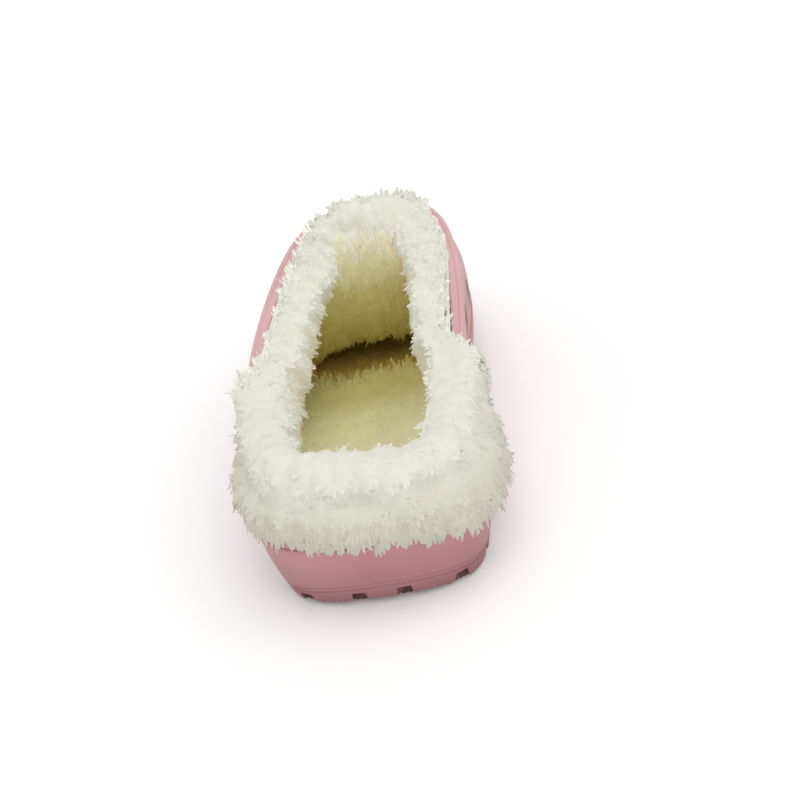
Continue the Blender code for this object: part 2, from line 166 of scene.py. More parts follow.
edge_x, edge_y, tread_inset = closed_spline(list(EDGE.values()), COUNT).T
edge = np.stack([edge_x * HALF_BALL, edge_y * LENGTH], 1)
edge_along = unit(np.roll(edge, -1, 0) - np.roll(edge, 1, 0))
edge_outward = np.stack([edge_along[:, 1], -edge_along[:, 0]], 1)
sole_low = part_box("sole")[0]
edge_low = edge[::CAD_STEP].min(0)
HEEL_BACK = np.array([sole_low.x - edge_low[0], sole_low.y - edge_low[1], 0.0])


def edge_ring(inset, height):
    """Ring inside the sole's edge; height is a function of y."""
    plan = edge - np.reshape(inset, (-1, 1)) * edge_outward
    return np.column_stack([plan, height(plan[:, 1])])


def ring_faces(rings, size, closed=False):
    """Quads between consecutive rings of one size; a closed set joins the last ring to the first."""
    low = np.arange(rings if closed else rings - 1)[:, None] * size
    high = (low + size) % (rings * size)
    here = np.arange(size)[None, :]
    following = (here + 1) % size
    quads = np.stack([low + here, low + following, high + following, high + here], 2)
    return quads.reshape(-1, 4)


def across_faces(start, size):
    """Closes a ring of points that begins at start with strips from side to side."""
    half = size // 2
    loop = [start + i for i in range(size)]
    strips = [[loop[i], loop[i + 1], loop[size - i - 1], loop[size - i]] for i in range(1, half - 1)]
    return [[loop[0], loop[1], loop[-1]], *strips, [loop[half - 1], loop[half], loop[half + 1]]]


def add_object(name, data):
    made = bpy.data.objects.new(name, data)
    bpy.context.scene.collection.objects.link(made)
    return made


def shade_mesh(mesh, sharp_degrees):
    mesh.shade_smooth()
    mesh.set_sharp_from_angle(angle=math.radians(sharp_degrees))


def make_piece(name, points, faces, sharp_degrees=40):
    """Mesh object in the row frame from points in the heel's frame; faces are turned outwards."""
    mesh = bpy.data.meshes.new(name)
    mesh.from_pydata((points + HEEL_BACK).tolist(), [], [list(map(int, face)) for face in faces])
    bm = bmesh.new()
    bm.from_mesh(mesh)
    bmesh.ops.recalc_face_normals(bm, faces=bm.faces)
    bm.to_mesh(mesh)
    bm.free()
    shade_mesh(mesh, sharp_degrees)
    return add_object(name, mesh)


def make_tubes(name, tubes, sharp_degrees=40):
    """One piece of closed tubes; each is an array of rings of points, with a face over either end."""
    points, faces = [], []
    for rings in tubes:
        count, size = rings.shape[:2]
        first = sum(len(earlier) for earlier in points)
        faces += (ring_faces(count, size) + first).tolist()
        faces += [list(range(end, end + size)) for end in (first, first + (count - 1) * size)]
        points.append(rings.reshape(-1, 3))
    return make_piece(name, np.concatenate(points), faces, sharp_degrees)


def carve(made, cutter, sharp_degrees):
    """Takes the cutter's form out of the piece, for good."""
    boolean = made.modifiers.new("carve", "BOOLEAN")
    boolean.operation = "DIFFERENCE"
    boolean.object = cutter
    bpy.context.view_layer.update()
    evaluated = made.evaluated_get(bpy.context.evaluated_depsgraph_get())
    carved = bpy.data.meshes.new_from_object(evaluated)
    made.modifiers.clear()
    made.data = carved
    bpy.data.objects.remove(cutter)
    shade_mesh(carved, sharp_degrees)


class Wire:
    """A shader socket; Python's operators on it add Math nodes."""

    def __init__(self, finish, socket):
        self.finish = finish
        self.socket = socket

    def maths(self, operation, first, second):
        return self.finish.node("ShaderNodeMath", {"operation": operation}, {0: first, 1: second})

    def __add__(self, other):
        return self.maths("ADD", self, other)

    __radd__ = __add__

    def __mul__(self, other):
        return self.maths("MULTIPLY", self, other)

    __rmul__ = __mul__

    def between(self, low, high):
        """Eases from 0 at low to 1 at high."""
        inputs = {"Value": self, "From Min": low, "From Max": high}
        return self.finish.node("ShaderNodeMapRange", {"interpolation_type": "SMOOTHSTEP"}, inputs)


class Finish:
    """A Principled material whose uniform values are set on the shader's own sockets."""

    def __init__(self, name, **uniform):
        self.material = bpy.data.materials.new(name)
        self.material.use_nodes = True
        self.tree = self.material.node_tree
        self.shader = self.tree.nodes["Principled BSDF"]
        for socket, value in uniform.items():
            self.put(socket.replace("_", " ").title().replace("Ior", "IOR"), value)
        self.place = self.node("ShaderNodeTexCoord", {}, {}, "Object")

    def node(self, kind, settings, inputs, output=0):
        """Adds a node: its settings first, then the values or links of its sockets."""
        made = self.tree.nodes.new(kind)
        for name, value in settings.items():
            setattr(made, name, value)
        for name, value in inputs.items():
            self.feed(made.inputs[name], value)
        return Wire(self, made.outputs[output])

    def feed(self, socket, value):
        if isinstance(value, Wire):
            self.tree.links.new(value.socket, socket)
        else:
            socket.default_value = value

    def put(self, socket, value):
        """Sets or links a socket of the shader."""
        self.feed(self.shader.inputs[socket], value)

    def noise(self, size, detail=2.0, roughness=0.5):
        """Soft noise with lumps of about the given size in metres."""
        inputs = {"Vector": self.place, "Scale": 1 / size, "Detail": detail, "Roughness": roughness}
        return self.node("ShaderNodeTexNoise", {}, inputs)

    def marked(self, name):
        return self.node("ShaderNodeAttribute", {"attribute_name": name}, {}, "Fac")

    def mixed(self, low, high, mix, blend="MIX"):
        """Colour between two colours or colour sockets; the node's colour sockets go by number."""
        factor, first, second, result = 0, 6, 7, 2
        low, high = (c if isinstance(c, Wire) else (*c, 1) for c in (low, high))
        settings = {"data_type": "RGBA", "blend_type": blend}
        return self.node("ShaderNodeMix", settings, {factor: mix, first: low, second: high}, result)

    def colour(self, low, high, mix):
        self.tone = self.mixed(low, high, mix)
        self.put("Base Color", self.tone)

    def tint(self, axis, stops):
        """Tints the colour along one axis of the row frame; stops: (place, colour)."""
        apart = self.node("ShaderNodeSeparateXYZ", {}, {0: self.place}, axis)
        shade = stops[0][1]
        for (start, _), (stop, colour) in zip(stops, stops[1:]):
            shade = self.mixed(shade, colour, apart.between(start, stop))
        self.tone = self.mixed(self.tone, shade, 1.0, "MULTIPLY")
        self.put("Base Color", self.tone)

    def relief(self, height, depth, strength=1.0):
        """Bump from a height that runs from 0 to 1, depth in metres."""
        inputs = {"Strength": strength, "Distance": depth, "Height": height}
        self.put("Normal", self.node("ShaderNodeBump", {}, inputs))

    def dress(self, made):
        made.data.materials.clear()
        made.data.materials.append(self.material)


def foam_finish(name, pale, deep, hollow):
    """Satin moulded foam: clouded pink with a fine skin grain; hollow: the colour painted where depth is
    marked, as painted shade.
    """
    finish = Finish(name, specular_ior_level=0.35)
    cloud = finish.noise(0.03, 3)
    grain = finish.noise(0.0006, 2)
    pores = finish.noise(0.0022, 3, 0.6)
    pink = finish.mixed(deep, pale, cloud.between(0.3, 0.7) * 0.8 + pores * 0.2)
    finish.colour(pink, hollow, finish.marked("depth"))
    finish.put("Roughness", 0.40 + pores * 0.14)
    finish.skin = grain * 0.6 + pores * 0.4
    finish.relief(finish.skin, 0.00012, 0.6)
    return finish


def mark(mesh, name, values):
    """Stores a value from 0 to 1 for each point, for the finish to read."""
    stored = mesh.attributes.new(name, "FLOAT", "POINT")
    stored.data.foreach_set("value", np.ravel(values).astype(np.float32))


def point_rows(mesh, kind):
    """Places ("co") or normals ("normal") of a mesh's points, one row each."""
    values = np.empty(3 * len(mesh.vertices), np.float32)
    mesh.vertices.foreach_get(kind, values)
    return values.reshape(-1, 3)


tread_ribs = RIB_DEPTH * np.sin(np.arange(COUNT) * np.pi / RIB_POINTS) ** 2
sole_rings = []
for name, (tread_share, inset, rise) in SOLE_SIDE.items():
    lift = tread_ribs * RIBBED.get(name, 0)
    ring = edge_ring(tread_share * tread_inset + inset, lambda y: bottom_z(y) + rise)
    ring[:, 2] += lift
    sole_rings.append(ring)
foot_share, _, foot_rise = SOLE_SIDE["wall foot"]
for step in range(1, WALL_STEPS + 1):
    part = step / WALL_STEPS
    inset = foot_share * tread_inset * (1 - part) ** WALL_SWEEP
    ring = edge_ring(inset, bottom_z)
    ring[:, 2] = (ring[:, 2] + foot_rise) * (1 - part) + (edge_z(ring[:, 1]) - EDGE_ROUND) * part
    sole_rings.append(ring)
for turn in (30, 60, 90):
    angle = math.radians(turn)
    inset = EDGE_ROUND_INSET * (1 - math.cos(angle))
    sole_rings.append(edge_ring(inset, lambda y: edge_z(y) - EDGE_ROUND * (1 - math.sin(angle))))
sole_rings += [edge_ring(RIM_INSET, edge_z), edge_ring(FOOTBED_INSET, bed_z)]
sole_faces = [
    *ring_faces(len(sole_rings), COUNT),
    *across_faces(0, COUNT),
    *across_faces((len(sole_rings) - 1) * COUNT, COUNT),
]
sole = make_piece("sole_moulding", np.concatenate(sole_rings), sole_faces, SOLE_SHARP)

# Tread pattern: notches between the lugs and bowed grooves across heel and forefoot, which lie at
# the shares of the length in GROOVES. The foam is painted darker in them, as painted shade.
NOTCH_STEP = 3
NOTCH_IN, NOTCH_OUT = -0.0022, 0.012
NOTCH_WIDTH = 0.0050
NOTCH_DEPTH = 0.0060
LUG_DEPTH = 0.0040
GROOVE_WIDTH = 0.0036
GROOVE_SAG = 0.006
GROOVES = (0.13, 0.18, 0.23, 0.28, 0.54, 0.59, 0.64, 0.69, 0.74, 0.79)
GROOVE_POINTS = 13
BELOW_TREAD = 0.003
DRAFT = 1.5
# Painted shade in the hollows: depths in from the uncut side where it begins and where it is full.
HOLLOW_FROM, HOLLOW_FULL = 0.0004, 0.0014
BATCH = 2000


def strip_rings(path, width, low, high):
    """Rings of four corners of an upright strip along a path in plan, wider below by the mould's draft."""
    along = unit(np.gradient(path, axis=0))
    side = np.stack([-along[:, 1], along[:, 0]], 1) * width / 2
    low, high = (np.broadcast_to(z, len(path)) for z in (low, high))
    corners = ((DRAFT, low), (-DRAFT, low), (-1, high), (1, high))
    return np.stack([np.column_stack([path + side * wide, z]) for wide, z in corners], 1)


tread_edge = edge_ring(tread_inset, bottom_z)
strips = []
for i in range(CAD_STEP, COUNT, NOTCH_STEP * CAD_STEP):
    middle, out = tread_edge[i, :2], edge_outward[i]
    ends = np.array([middle - out * NOTCH_IN, middle + out * NOTCH_OUT])
    base = bottom_z(np.array([ends[0, 1], middle[1]]))
    strips.append(strip_rings(ends, NOTCH_WIDTH, base.min() - BELOW_TREAD, base.max() + NOTCH_DEPTH))
groove_clear = tread_inset.max() + GROOVE_WIDTH
medial, lateral = slice(0, COUNT // 2), slice(COUNT // 2, COUNT)
for y_share in GROOVES:
    y = y_share * LENGTH
    right = np.interp(y, edge[medial, 1], edge[medial, 0])
    left = np.interp(y, edge[lateral, 1][::-1], edge[lateral, 0][::-1])
    x = np.linspace(left + groove_clear, right - groove_clear, GROOVE_POINTS)
    bow = 1 - ((x - x.mean()) / np.ptp(x) * 2) ** 2
    path = np.stack([x, y + GROOVE_SAG * (bow - 0.5)], 1)
    base = bottom_z(path[:, 1])
    strips.append(strip_rings(path, GROOVE_WIDTH, base - BELOW_TREAD, base + LUG_DEPTH))
carve(sole, make_tubes("tread_cutter", strips), SOLE_SHARP)


def hollow_shade_mask(points):
    """How deep points lie in the notches and grooves, measured in from the uncut side: the mask of the
    painted shade there.
    """
    side = np.array(list(SOLE_SIDE.values()))
    near = np.empty(len(points), int)
    for start in range(0, len(points), BATCH):
        away = points[start : start + BATCH, None, :2] - edge[None]
        near[start : start + BATCH] = (away**2).sum(2).argmin(1)
    inset = ((edge[near] - points[:, :2]) * edge_outward[near]).sum(1)
    height = points[:, 2] - bottom_z(points[:, 1])
    uncut = np.interp(height, side[:, 2], side[:, 0]) * tread_inset[near]
    within = (height > HOLLOW_FROM) & (height < side[-1, 2])
    return within * share(inset - uncut, HOLLOW_FROM, HOLLOW_FULL)


# Painted shade: the foam is painted nearly black in the notches and grooves, where shade falls.
mark(sole.data, "depth", hollow_shade_mask(point_rows(sole.data, "co") - HEEL_BACK))
# The sole and the upper are one foam; the sole's colours are painted darker than the upper's, as painted
# shade.
sole_foam_shaded = foam_finish("sole_foam_shaded", (0.57, 0.275, 0.295), (0.51, 0.23, 0.25), (0.13, 0.055, 0.055))
# Painted shade: the sole is painted darker towards the floor, most in its lowest millimetres.
SOLE_FLOOR_SHADE = ((0.030, (0.97, 0.96, 0.97)), (0.013, (0.80, 0.76, 0.77)), (0.002, (0.58, 0.50, 0.50)))
sole_foam_shaded.tint("Z", SOLE_FLOOR_SHADE)
sole_foam_shaded.dress(sole)
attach(sole, "root")
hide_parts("sole")

# Insole. A pad of fleece-covered foam, cut to the recess of the sole and bonded in it.
# Its short pile is trodden down a little under heel and ball, and lies towards the toe.
INSOLE_THICK = 0.006
INSOLE_INSET = FOOTBED_INSET + 2 * GAP
INSOLE_ROUND = 0.0015
ACROSS = 36
# Hollows trodden by heel and ball: y, half width and half length.
TRODDEN = 0.0008
HOLLOWS = ((0.055, 0.024, 0.035), (0.185, 0.030, 0.040))
HUMP_Y, HUMP_WIDTH, HUMP_HEIGHT = 0.137, 0.006, 0.0025
HUMP_BEND, HUMP_BENDS = 0.004, 90
RIPPLE, FINE_RIPPLE = 0.00025, 0.00020


def across_grid(ring, cuts):
    """Grid over a ring of points: its medial and lateral sides joined by rows of cuts points."""
    half = len(ring) // 2
    medial_side = ring[1:half]
    lateral_side = ring[:half:-1]
    t = np.linspace(0, 1, cuts)[None, :, None]
    return medial_side[:, None] * (1 - t) + lateral_side[:, None] * t


def grid_faces(rows, columns):
    low = np.arange(rows - 1)[:, None] * columns + np.arange(columns - 1)[None, :]
    return np.stack([low, low + 1, low + columns + 1, low + columns], 2).reshape(-1, 4)


insole_rings = [edge_ring(INSOLE_INSET, lambda y: bed_z(y) + GAP)]
for inset, below in ((0, 1), (0.3, 0.3), (1, 0)):
    ring = edge_ring(INSOLE_INSET + inset * INSOLE_ROUND, bed_z)
    ring[:, 2] += INSOLE_THICK - below * INSOLE_ROUND
    insole_rings.append(ring)


def insole_top_z(points):
    """Top of the insole: hollows trodden by heel and ball, a hump under the throat, soft ripples."""
    x, y = points[..., 0], points[..., 1]
    trodden = sum(np.exp(-((x / wide) ** 2) - ((y - middle) / long) ** 2) for middle, wide, long in HOLLOWS)
    hump = HUMP_HEIGHT * np.exp(-(((y - HUMP_Y - HUMP_BEND * np.sin(x * HUMP_BENDS)) / HUMP_WIDTH) ** 2))
    ripples = RIPPLE * np.sin(x * 410 + 1.7) * np.sin(y * 330) + FINE_RIPPLE * np.sin(x * 900 + y * 700)
    return bed_z(y) + INSOLE_THICK - TRODDEN * trodden + hump + ripples


insole_top = across_grid(insole_rings[-1], ACROSS)
inside = np.sin(np.linspace(0, np.pi, ACROSS))[None, :] ** 0.5
insole_top[..., 2] = insole_top[..., 2] * (1 - inside) + insole_top_z(insole_top) * inside
ring_total = len(insole_rings) * COUNT
rim = ring_total - COUNT
insole_faces = [*ring_faces(len(insole_rings), COUNT), *across_faces(0, COUNT)]
insole_faces += (grid_faces(*insole_top.shape[:2]) + ring_total).tolist()
top_index = ring_total + np.arange(insole_top.shape[0] * ACROSS).reshape(-1, ACROSS)
half = COUNT // 2
medial_rim, lateral_rim = rim + np.arange(1, half), rim + np.arange(COUNT - 1, half, -1)
for border, side in ((medial_rim, top_index[:, 0]), (lateral_rim, top_index[:, -1])):
    insole_faces += np.stack([border[:-1], border[1:], side[1:], side[:-1]], 1).tolist()
for tip, end in ((rim, 0), (rim + half, -1)):
    insole_faces.append([tip, medial_rim[end], *top_index[end], lateral_rim[end]])
insole = make_piece("insole_pad", np.concatenate([*insole_rings, insole_top.reshape(-1, 3)]), insole_faces)
# Painted glow: light emitted by the fleece on the inside of the roll, in place of light through the pile.
PAINTED_GLOW = (0.095, 0.085, 0.056)


def fleece_finish(name, pale, deep, painted_shade_cream, lump, painted_under_glow=None):
    """Matt fleece: cream of a tone that varies in lumps, painted darker as painted shade in creases and at
    the roots of the pile, and with a painted glow on the inside.

    The last argument: a painted glow on the undersides of long locks, in place of light through them.
    """
    cloth = {"roughness": 0.95, "specular_ior_level": 0.05, "sheen_weight": 0.1, "sheen_roughness": 0.6}
    finish = Finish(name, emission_strength=1.0, **cloth)
    tone = finish.noise(lump, 3, 0.55)
    curl = finish.noise(lump * 0.25, 3, 0.6)
    cream = finish.mixed(deep, pale, (tone * 0.55 + curl * 0.45).between(0.3, 0.62))
    finish.colour(cream, painted_shade_cream, finish.marked("depth"))
    glow = finish.mixed((0, 0, 0), PAINTED_GLOW, finish.marked("inside"))
    if painted_under_glow:
        glow = finish.mixed(glow, painted_under_glow, finish.marked("under"))
    finish.put("Emission Color", glow)
    return finish


# Pale and deep cream, then the painted shade at the roots of the pile.
INSOLE_CREAMS = (0.90, 0.88, 0.80), (0.84, 0.81, 0.70), (0.80, 0.76, 0.60)
insole_fleece = fleece_finish("insole_fleece", *INSOLE_CREAMS, 0.006)
# Painted shade: the insole is painted darker and more olive deeper in the shoe, dark brown under the vamp
# where shade falls.
INSOLE_PAINTED_SHADE = (
    (0.040, (0.76, 0.74, 0.65)),
    (0.100, (0.73, 0.70, 0.43)),
    (0.134, (0.71, 0.67, 0.30)),
    (0.150, (0.62, 0.43, 0.09)),
)
insole_fleece.tint("Y", [(y + HEEL_BACK[1], colour) for y, colour in INSOLE_PAINTED_SHADE])
# Painted light: the insole is painted lighter towards its medial side.
insole_fleece.tint("X", ((0.000, (1.00, 1.00, 1.00)), (0.024, (1.26, 1.28, 1.42))))
insole_fleece.dress(insole)
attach(insole, "root")
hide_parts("insole")

# Pile, on this piece and the other fleece. CLUMP: size of a curl. A lock is painted darker at its root by
# ROOT_DEPTH, as painted shade, KEEL high underneath, and shaded as round as ROUNDED. From below it is
# shaded as if turned upwards by UNDERLIT, and given a painted glow by the glow shares.
FLEECE_SEED = 11
CLUMP = 0.0058
ROOT_DEPTH = 0.12
KEEL = 0.7
ROUNDED = 0.25
UNDERLIT = 1.2
DEEP_GLOW_LOSS, TIP_GLOW = 0.6, 0.4
UPWARD, FORWARD = np.array([0.0, 0.0, 1.0]), np.array([0.0, 1.0, 0.0])
# First direction and tip of a lock: how far it strays, follows the comb, lies down and is drawn to
# its curl. Then the spread of lengths and widths, the gain at the middle of a curl, and the rooting.
STRAY = 0.35
TIP_COMB, TIP_DOWN, TIP_GATHER = 0.15, 0.20, 0.45
LENGTH_SPREAD, WIDTH_SPREAD = (0.65, 1.25), (0.7, 1.2)
EDGE_OF_CURL, CURL_GAIN = 0.8, 0.4
SINK, SOFTNESS = 0.0006, 0.75
# Stations of a lock: share of its length, share of its width.
LOCK_STATIONS = ((0.0, 0.9), (0.50, 1.0), (0.92, 0.72))
HAIR_STATIONS = ((0.0, 1.0), (0.55, 0.75))
draw = np.random.default_rng(FLEECE_SEED)


def grid_normals(grid):
    """Unit normals of a grid of points, to the left of its rows."""
    return unit(np.cross(np.gradient(grid, axis=0), np.gradient(grid, axis=1)))


def clump_of(points):
    """Middle of the curl of fleece that each point belongs to, and how near it lies, from 0 to 1."""
    middles = np.empty_like(points)
    near = np.empty(len(points))
    for i, point in enumerate(points):
        distances, cells = noise.voronoi(Vector(point / CLUMP))
        middles[i] = np.array(cells[0]) * CLUMP
        near[i] = max(0.0, 1.0 - distances[0])
    return middles, near


def scatter(grid, normals, marks, count, weight):
    """Random points spread over a grid by area and weight; its last column goes on to the first.

    Returns their places, the grid's normals and marks there, the direction from row to row, and
    where they lie: share of the rows and number of the column.
    """
    following = np.roll(grid, -1, 1)
    sides = following[:-1] - grid[:-1], grid[1:] - grid[:-1]
    area = np.linalg.norm(np.cross(*sides), axis=2) * weight[:-1]
    chosen = draw.choice(area.size, count, p=area.ravel() / area.sum())
    row, column = np.divmod(chosen, grid.shape[1])
    f, g = draw.random((2, count, 1))
    after = (column + 1) % grid.shape[1]

    def blend(values):
        low = values[row, column] * (1 - g) + values[row, after] * g
        high = values[row + 1, column] * (1 - g) + values[row + 1, after] * g
        return low * (1 - f) + high * f

    along = unit(grid[row + 1, column] - grid[row, column])
    row_share = (row + f[:, 0]) / (len(grid) - 1)
    return blend(grid), unit(blend(normals)), blend(marks), along, row_share, column


def make_pile(name, finish, roots, faces, ways, bends, lengths, widths, stations, softness, marks):
    """One mesh of tapered locks, each flat outside with a keel underneath.

    ways: first direction, bends: how the tip swings, stations: (share of the length, share of the
    width) from root to just under the tip. softness: share of the base's normal in the shading.
    marks: how much painted shade the roots take, and how much painted glow inside the shoe, from 0 to 1.
    """
    count = len(roots)
    across = unit(np.cross(ways, faces))
    upright = np.cross(across, ways)
    lengths = lengths[:, None]
    points, deep, below = [], [], []
    depths, inside = marks.T
    for along, wide in stations:
        centre = roots + ways * lengths * along + bends * lengths * along**2
        half = (widths * wide / 2)[:, None]
        points += [centre - across * half, centre + across * half, centre - upright * half * KEEL]
        # Painted shade, most at the roots, and painted glow on the keel, less where the fleece is painted
        # in shade.
        deep += [share(depths + ROOT_DEPTH * (1 - along), 0, 1)] * 3
        below += [0 * depths, 0 * depths, 1 - DEEP_GLOW_LOSS * depths]
    points.append(roots + (ways + bends) * lengths)
    deep.append(depths)
    below.append(TIP_GLOW * (1 - depths))
    outer = faces * softness + upright * (1 - softness)
    outer_left, outer_right = unit(outer - across * ROUNDED), unit(outer + across * ROUNDED)
    under = UPWARD * UNDERLIT + faces * softness - upright
    under_left, under_right = unit(under - across * KEEL), unit(under + across * KEEL)
    tip = len(points) - 1
    left, right, keel = 0, 1, 2
    corners, normals = [(left, keel, right)], [(faces, faces, faces)]
    sides = (
        (left, right, outer_left, outer_right),
        (right, keel, under_right, under_right),
        (keel, left, under_left, under_left),
    )
    for first, second, first_normal, second_normal in sides:
        for low in range(0, tip - 3, 3):
            a, b, c, d = low + first, low + second, low + 3 + second, low + 3 + first
            corners += [(a, b, c), (a, c, d)]
            normals += [(first_normal, second_normal, last) for last in (second_normal, first_normal)]
        corners.append((tip - 3 + first, tip - 3 + second, tip))
        normals.append((first_normal, second_normal, unit(first_normal + second_normal)))
    triangles = (np.array(corners)[None] + (tip + 1) * np.arange(count)[:, None, None]).reshape(-1, 3)
    corner_normals = np.stack([np.stack(three, 1) for three in normals], 1)
    mesh = bpy.data.meshes.new(name)
    mesh.vertices.add(count * (tip + 1))
    placed = np.stack(points, 1).reshape(-1, 3) + HEEL_BACK
    mesh.vertices.foreach_set("co", placed.astype(np.float32).ravel())
    mesh.loops.add(triangles.size)
    mesh.loops.foreach_set("vertex_index", triangles.astype(np.int32).ravel())
    mesh.polygons.add(len(triangles))
    mesh.polygons.foreach_set("loop_start", np.arange(0, triangles.size, 3, dtype=np.int32))
    mesh.update(calc_edges=True)
    mesh.shade_smooth()
    mesh.normals_split_custom_set(corner_normals.reshape(-1, 3).tolist())
    mark(mesh, "depth", np.stack(deep, 1))
    mark(mesh, "inside", np.repeat(inside, tip + 1))
    mark(mesh, "under", np.stack(below, 1))
    made = add_object(name, mesh)
    made.visible_shadow = False
    made.visible_diffuse = False
    finish.dress(made)
    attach(made, "root")
    return made


def grow(name, finish, grid, normals, marks, count, weight, comb_of, length, width, stations, lean, swing):
    """Pile on a grid. lean: how far the locks lie down along the comb, swing: how far tips wander."""
    roots, faces, spots, along, row, column = scatter(grid, normals, marks, count, weight)
    comb = unit(comb_of(along, row[:, None], column))
    middles, near = clump_of(roots)
    gather = (middles - roots) / CLUMP
    ways = unit(faces + comb * lean + gather + draw.normal(size=(count, 3)) * STRAY)
    bends = comb * TIP_COMB - faces * TIP_DOWN + gather * TIP_GATHER
    bends = bends + draw.normal(size=(count, 3)) * swing
    grown = length * draw.uniform(*LENGTH_SPREAD, count) * (EDGE_OF_CURL + CURL_GAIN * near)
    wide = width * draw.uniform(*WIDTH_SPREAD, count)
    roots = roots - faces * SINK
    return make_pile(name, finish, roots, faces, ways, bends, grown, wide, stations, SOFTNESS, spots)


def comb_forward(along, row, column):
    return np.broadcast_to(FORWARD, along.shape)


PILE_END_Y, PILE_FULL_Y = 0.200, 0.170
insole_weight = np.ones(insole_top.shape[:2])
insole_weight[:, -1] = 0
insole_weight *= share(insole_top[..., 1], PILE_END_Y, PILE_FULL_Y)
insole_normals = grid_normals(insole_top)
insole_normals *= np.sign(insole_normals[..., 2:])
tuft_weight = insole_weight * np.exp(-(((insole_top[..., 1] - HUMP_Y) / HUMP_WIDTH) ** 2))
insole_marks = np.zeros((*insole_weight.shape, 2))
# Short pile, and longer tufts where it is ruffled up at the mouth of the toe pocket. For each: count,
# weight, length, width, stations, lean and swing.
INSOLE_PILE = {
    "insole_pile": (11000, insole_weight, 0.0024, 0.0010, HAIR_STATIONS, 1.6, 0.3),
    "insole_tufts": (900, tuft_weight, 0.0046, 0.0015, LOCK_STATIONS, 0.8, 0.3),
}
insole_base = insole_fleece, insole_top, insole_normals, insole_marks
for name, (count, weight, *form) in INSOLE_PILE.items():
    grow(name, *insole_base, count, weight, comb_forward, *form)

# Upper. A hollow vamp of the same foam, moulded with a raised rim along its collar and upright
# vents through both sides of the forefoot. It is bonded on the rim of the sole.
INSTEP_HEIGHT = 0.102
WALL = 0.0038
SETBACK = 0.0006
RIM_WIDTH = 0.009
RIM_STEP = 0.0018
OUTWARD_LEAN = math.radians(5)
SKIN_STEPS = 121
UPPER_SHARP = 50

# For the directions of the sole's table. collar: top of the rim, x in half ball widths, y in
# lengths, z in instep heights. arrive: slope at the rim in degrees. start, end: shares of the chord.
COLLAR = {
    "heel back":        (0.00, 0.026, 0.530, 82, 0.35, 0.35),
    "heel medial":      (0.55, 0.064, 0.515, 82, 0.35, 0.35),
    "quarter medial":   (0.70, 0.187, 0.500, 82, 0.35, 0.35),
    "waist medial":     (0.79, 0.313, 0.560, 80, 0.35, 0.35),
    "instep medial":    (0.85, 0.418, 0.735, 76, 0.33, 0.35),
    "ball medial":      (0.825, 0.485, 0.890, 62, 0.31, 0.33),
    "joint medial":     (0.695, 0.518, 0.970, 44, 0.29, 0.34),
    "toe medial":       (0.505, 0.535, 1.000, 33, 0.27, 0.37),
    "toe tip":          (0.25, 0.540, 1.005, 30, 0.26, 0.39),
    "toe lateral":      (-0.01, 0.535, 1.003, 32, 0.28, 0.37),
    "joint lateral":    (-0.25, 0.518, 0.983, 38, 0.30, 0.35),
    "ball lateral":     (-0.475, 0.485, 0.915, 48, 0.32, 0.34),
    "instep lateral":   (-0.735, 0.418, 0.745, 64, 0.35, 0.35),
    "waist lateral":    (-0.87, 0.313, 0.580, 82, 0.35, 0.35),
    "quarter lateral":  (-0.75, 0.187, 0.525, 82, 0.35, 0.35),
    "heel lateral":     (-0.55, 0.064, 0.530, 82, 0.35, 0.35),
}

# Rim from the outer wall over the collar to the inner wall: distance below the collar, distance out.
RIM = (
    (RIM_WIDTH + 0.0008, 0.0), (RIM_WIDTH + 0.0001, 0.0001), (RIM_WIDTH - 0.0003, 0.0007),
    (RIM_WIDTH - 0.0008, 0.0014), (RIM_WIDTH - 0.0016, RIM_STEP), (0.0055, RIM_STEP + 0.0001),
    (0.0030, RIM_STEP), (0.0014, RIM_STEP - 0.0001), (0.0006, RIM_STEP - 0.0004),
    (0.0001, RIM_STEP - 0.0009), (0.0, RIM_STEP - 0.0013), (0.0002, RIM_STEP - 0.0018),
    (0.0006, RIM_STEP - 0.0022), (0.0007, RIM_STEP - 0.0028), (0.0006, -0.0026),
    (0.0009, -0.0033), (0.0016, -WALL),
)


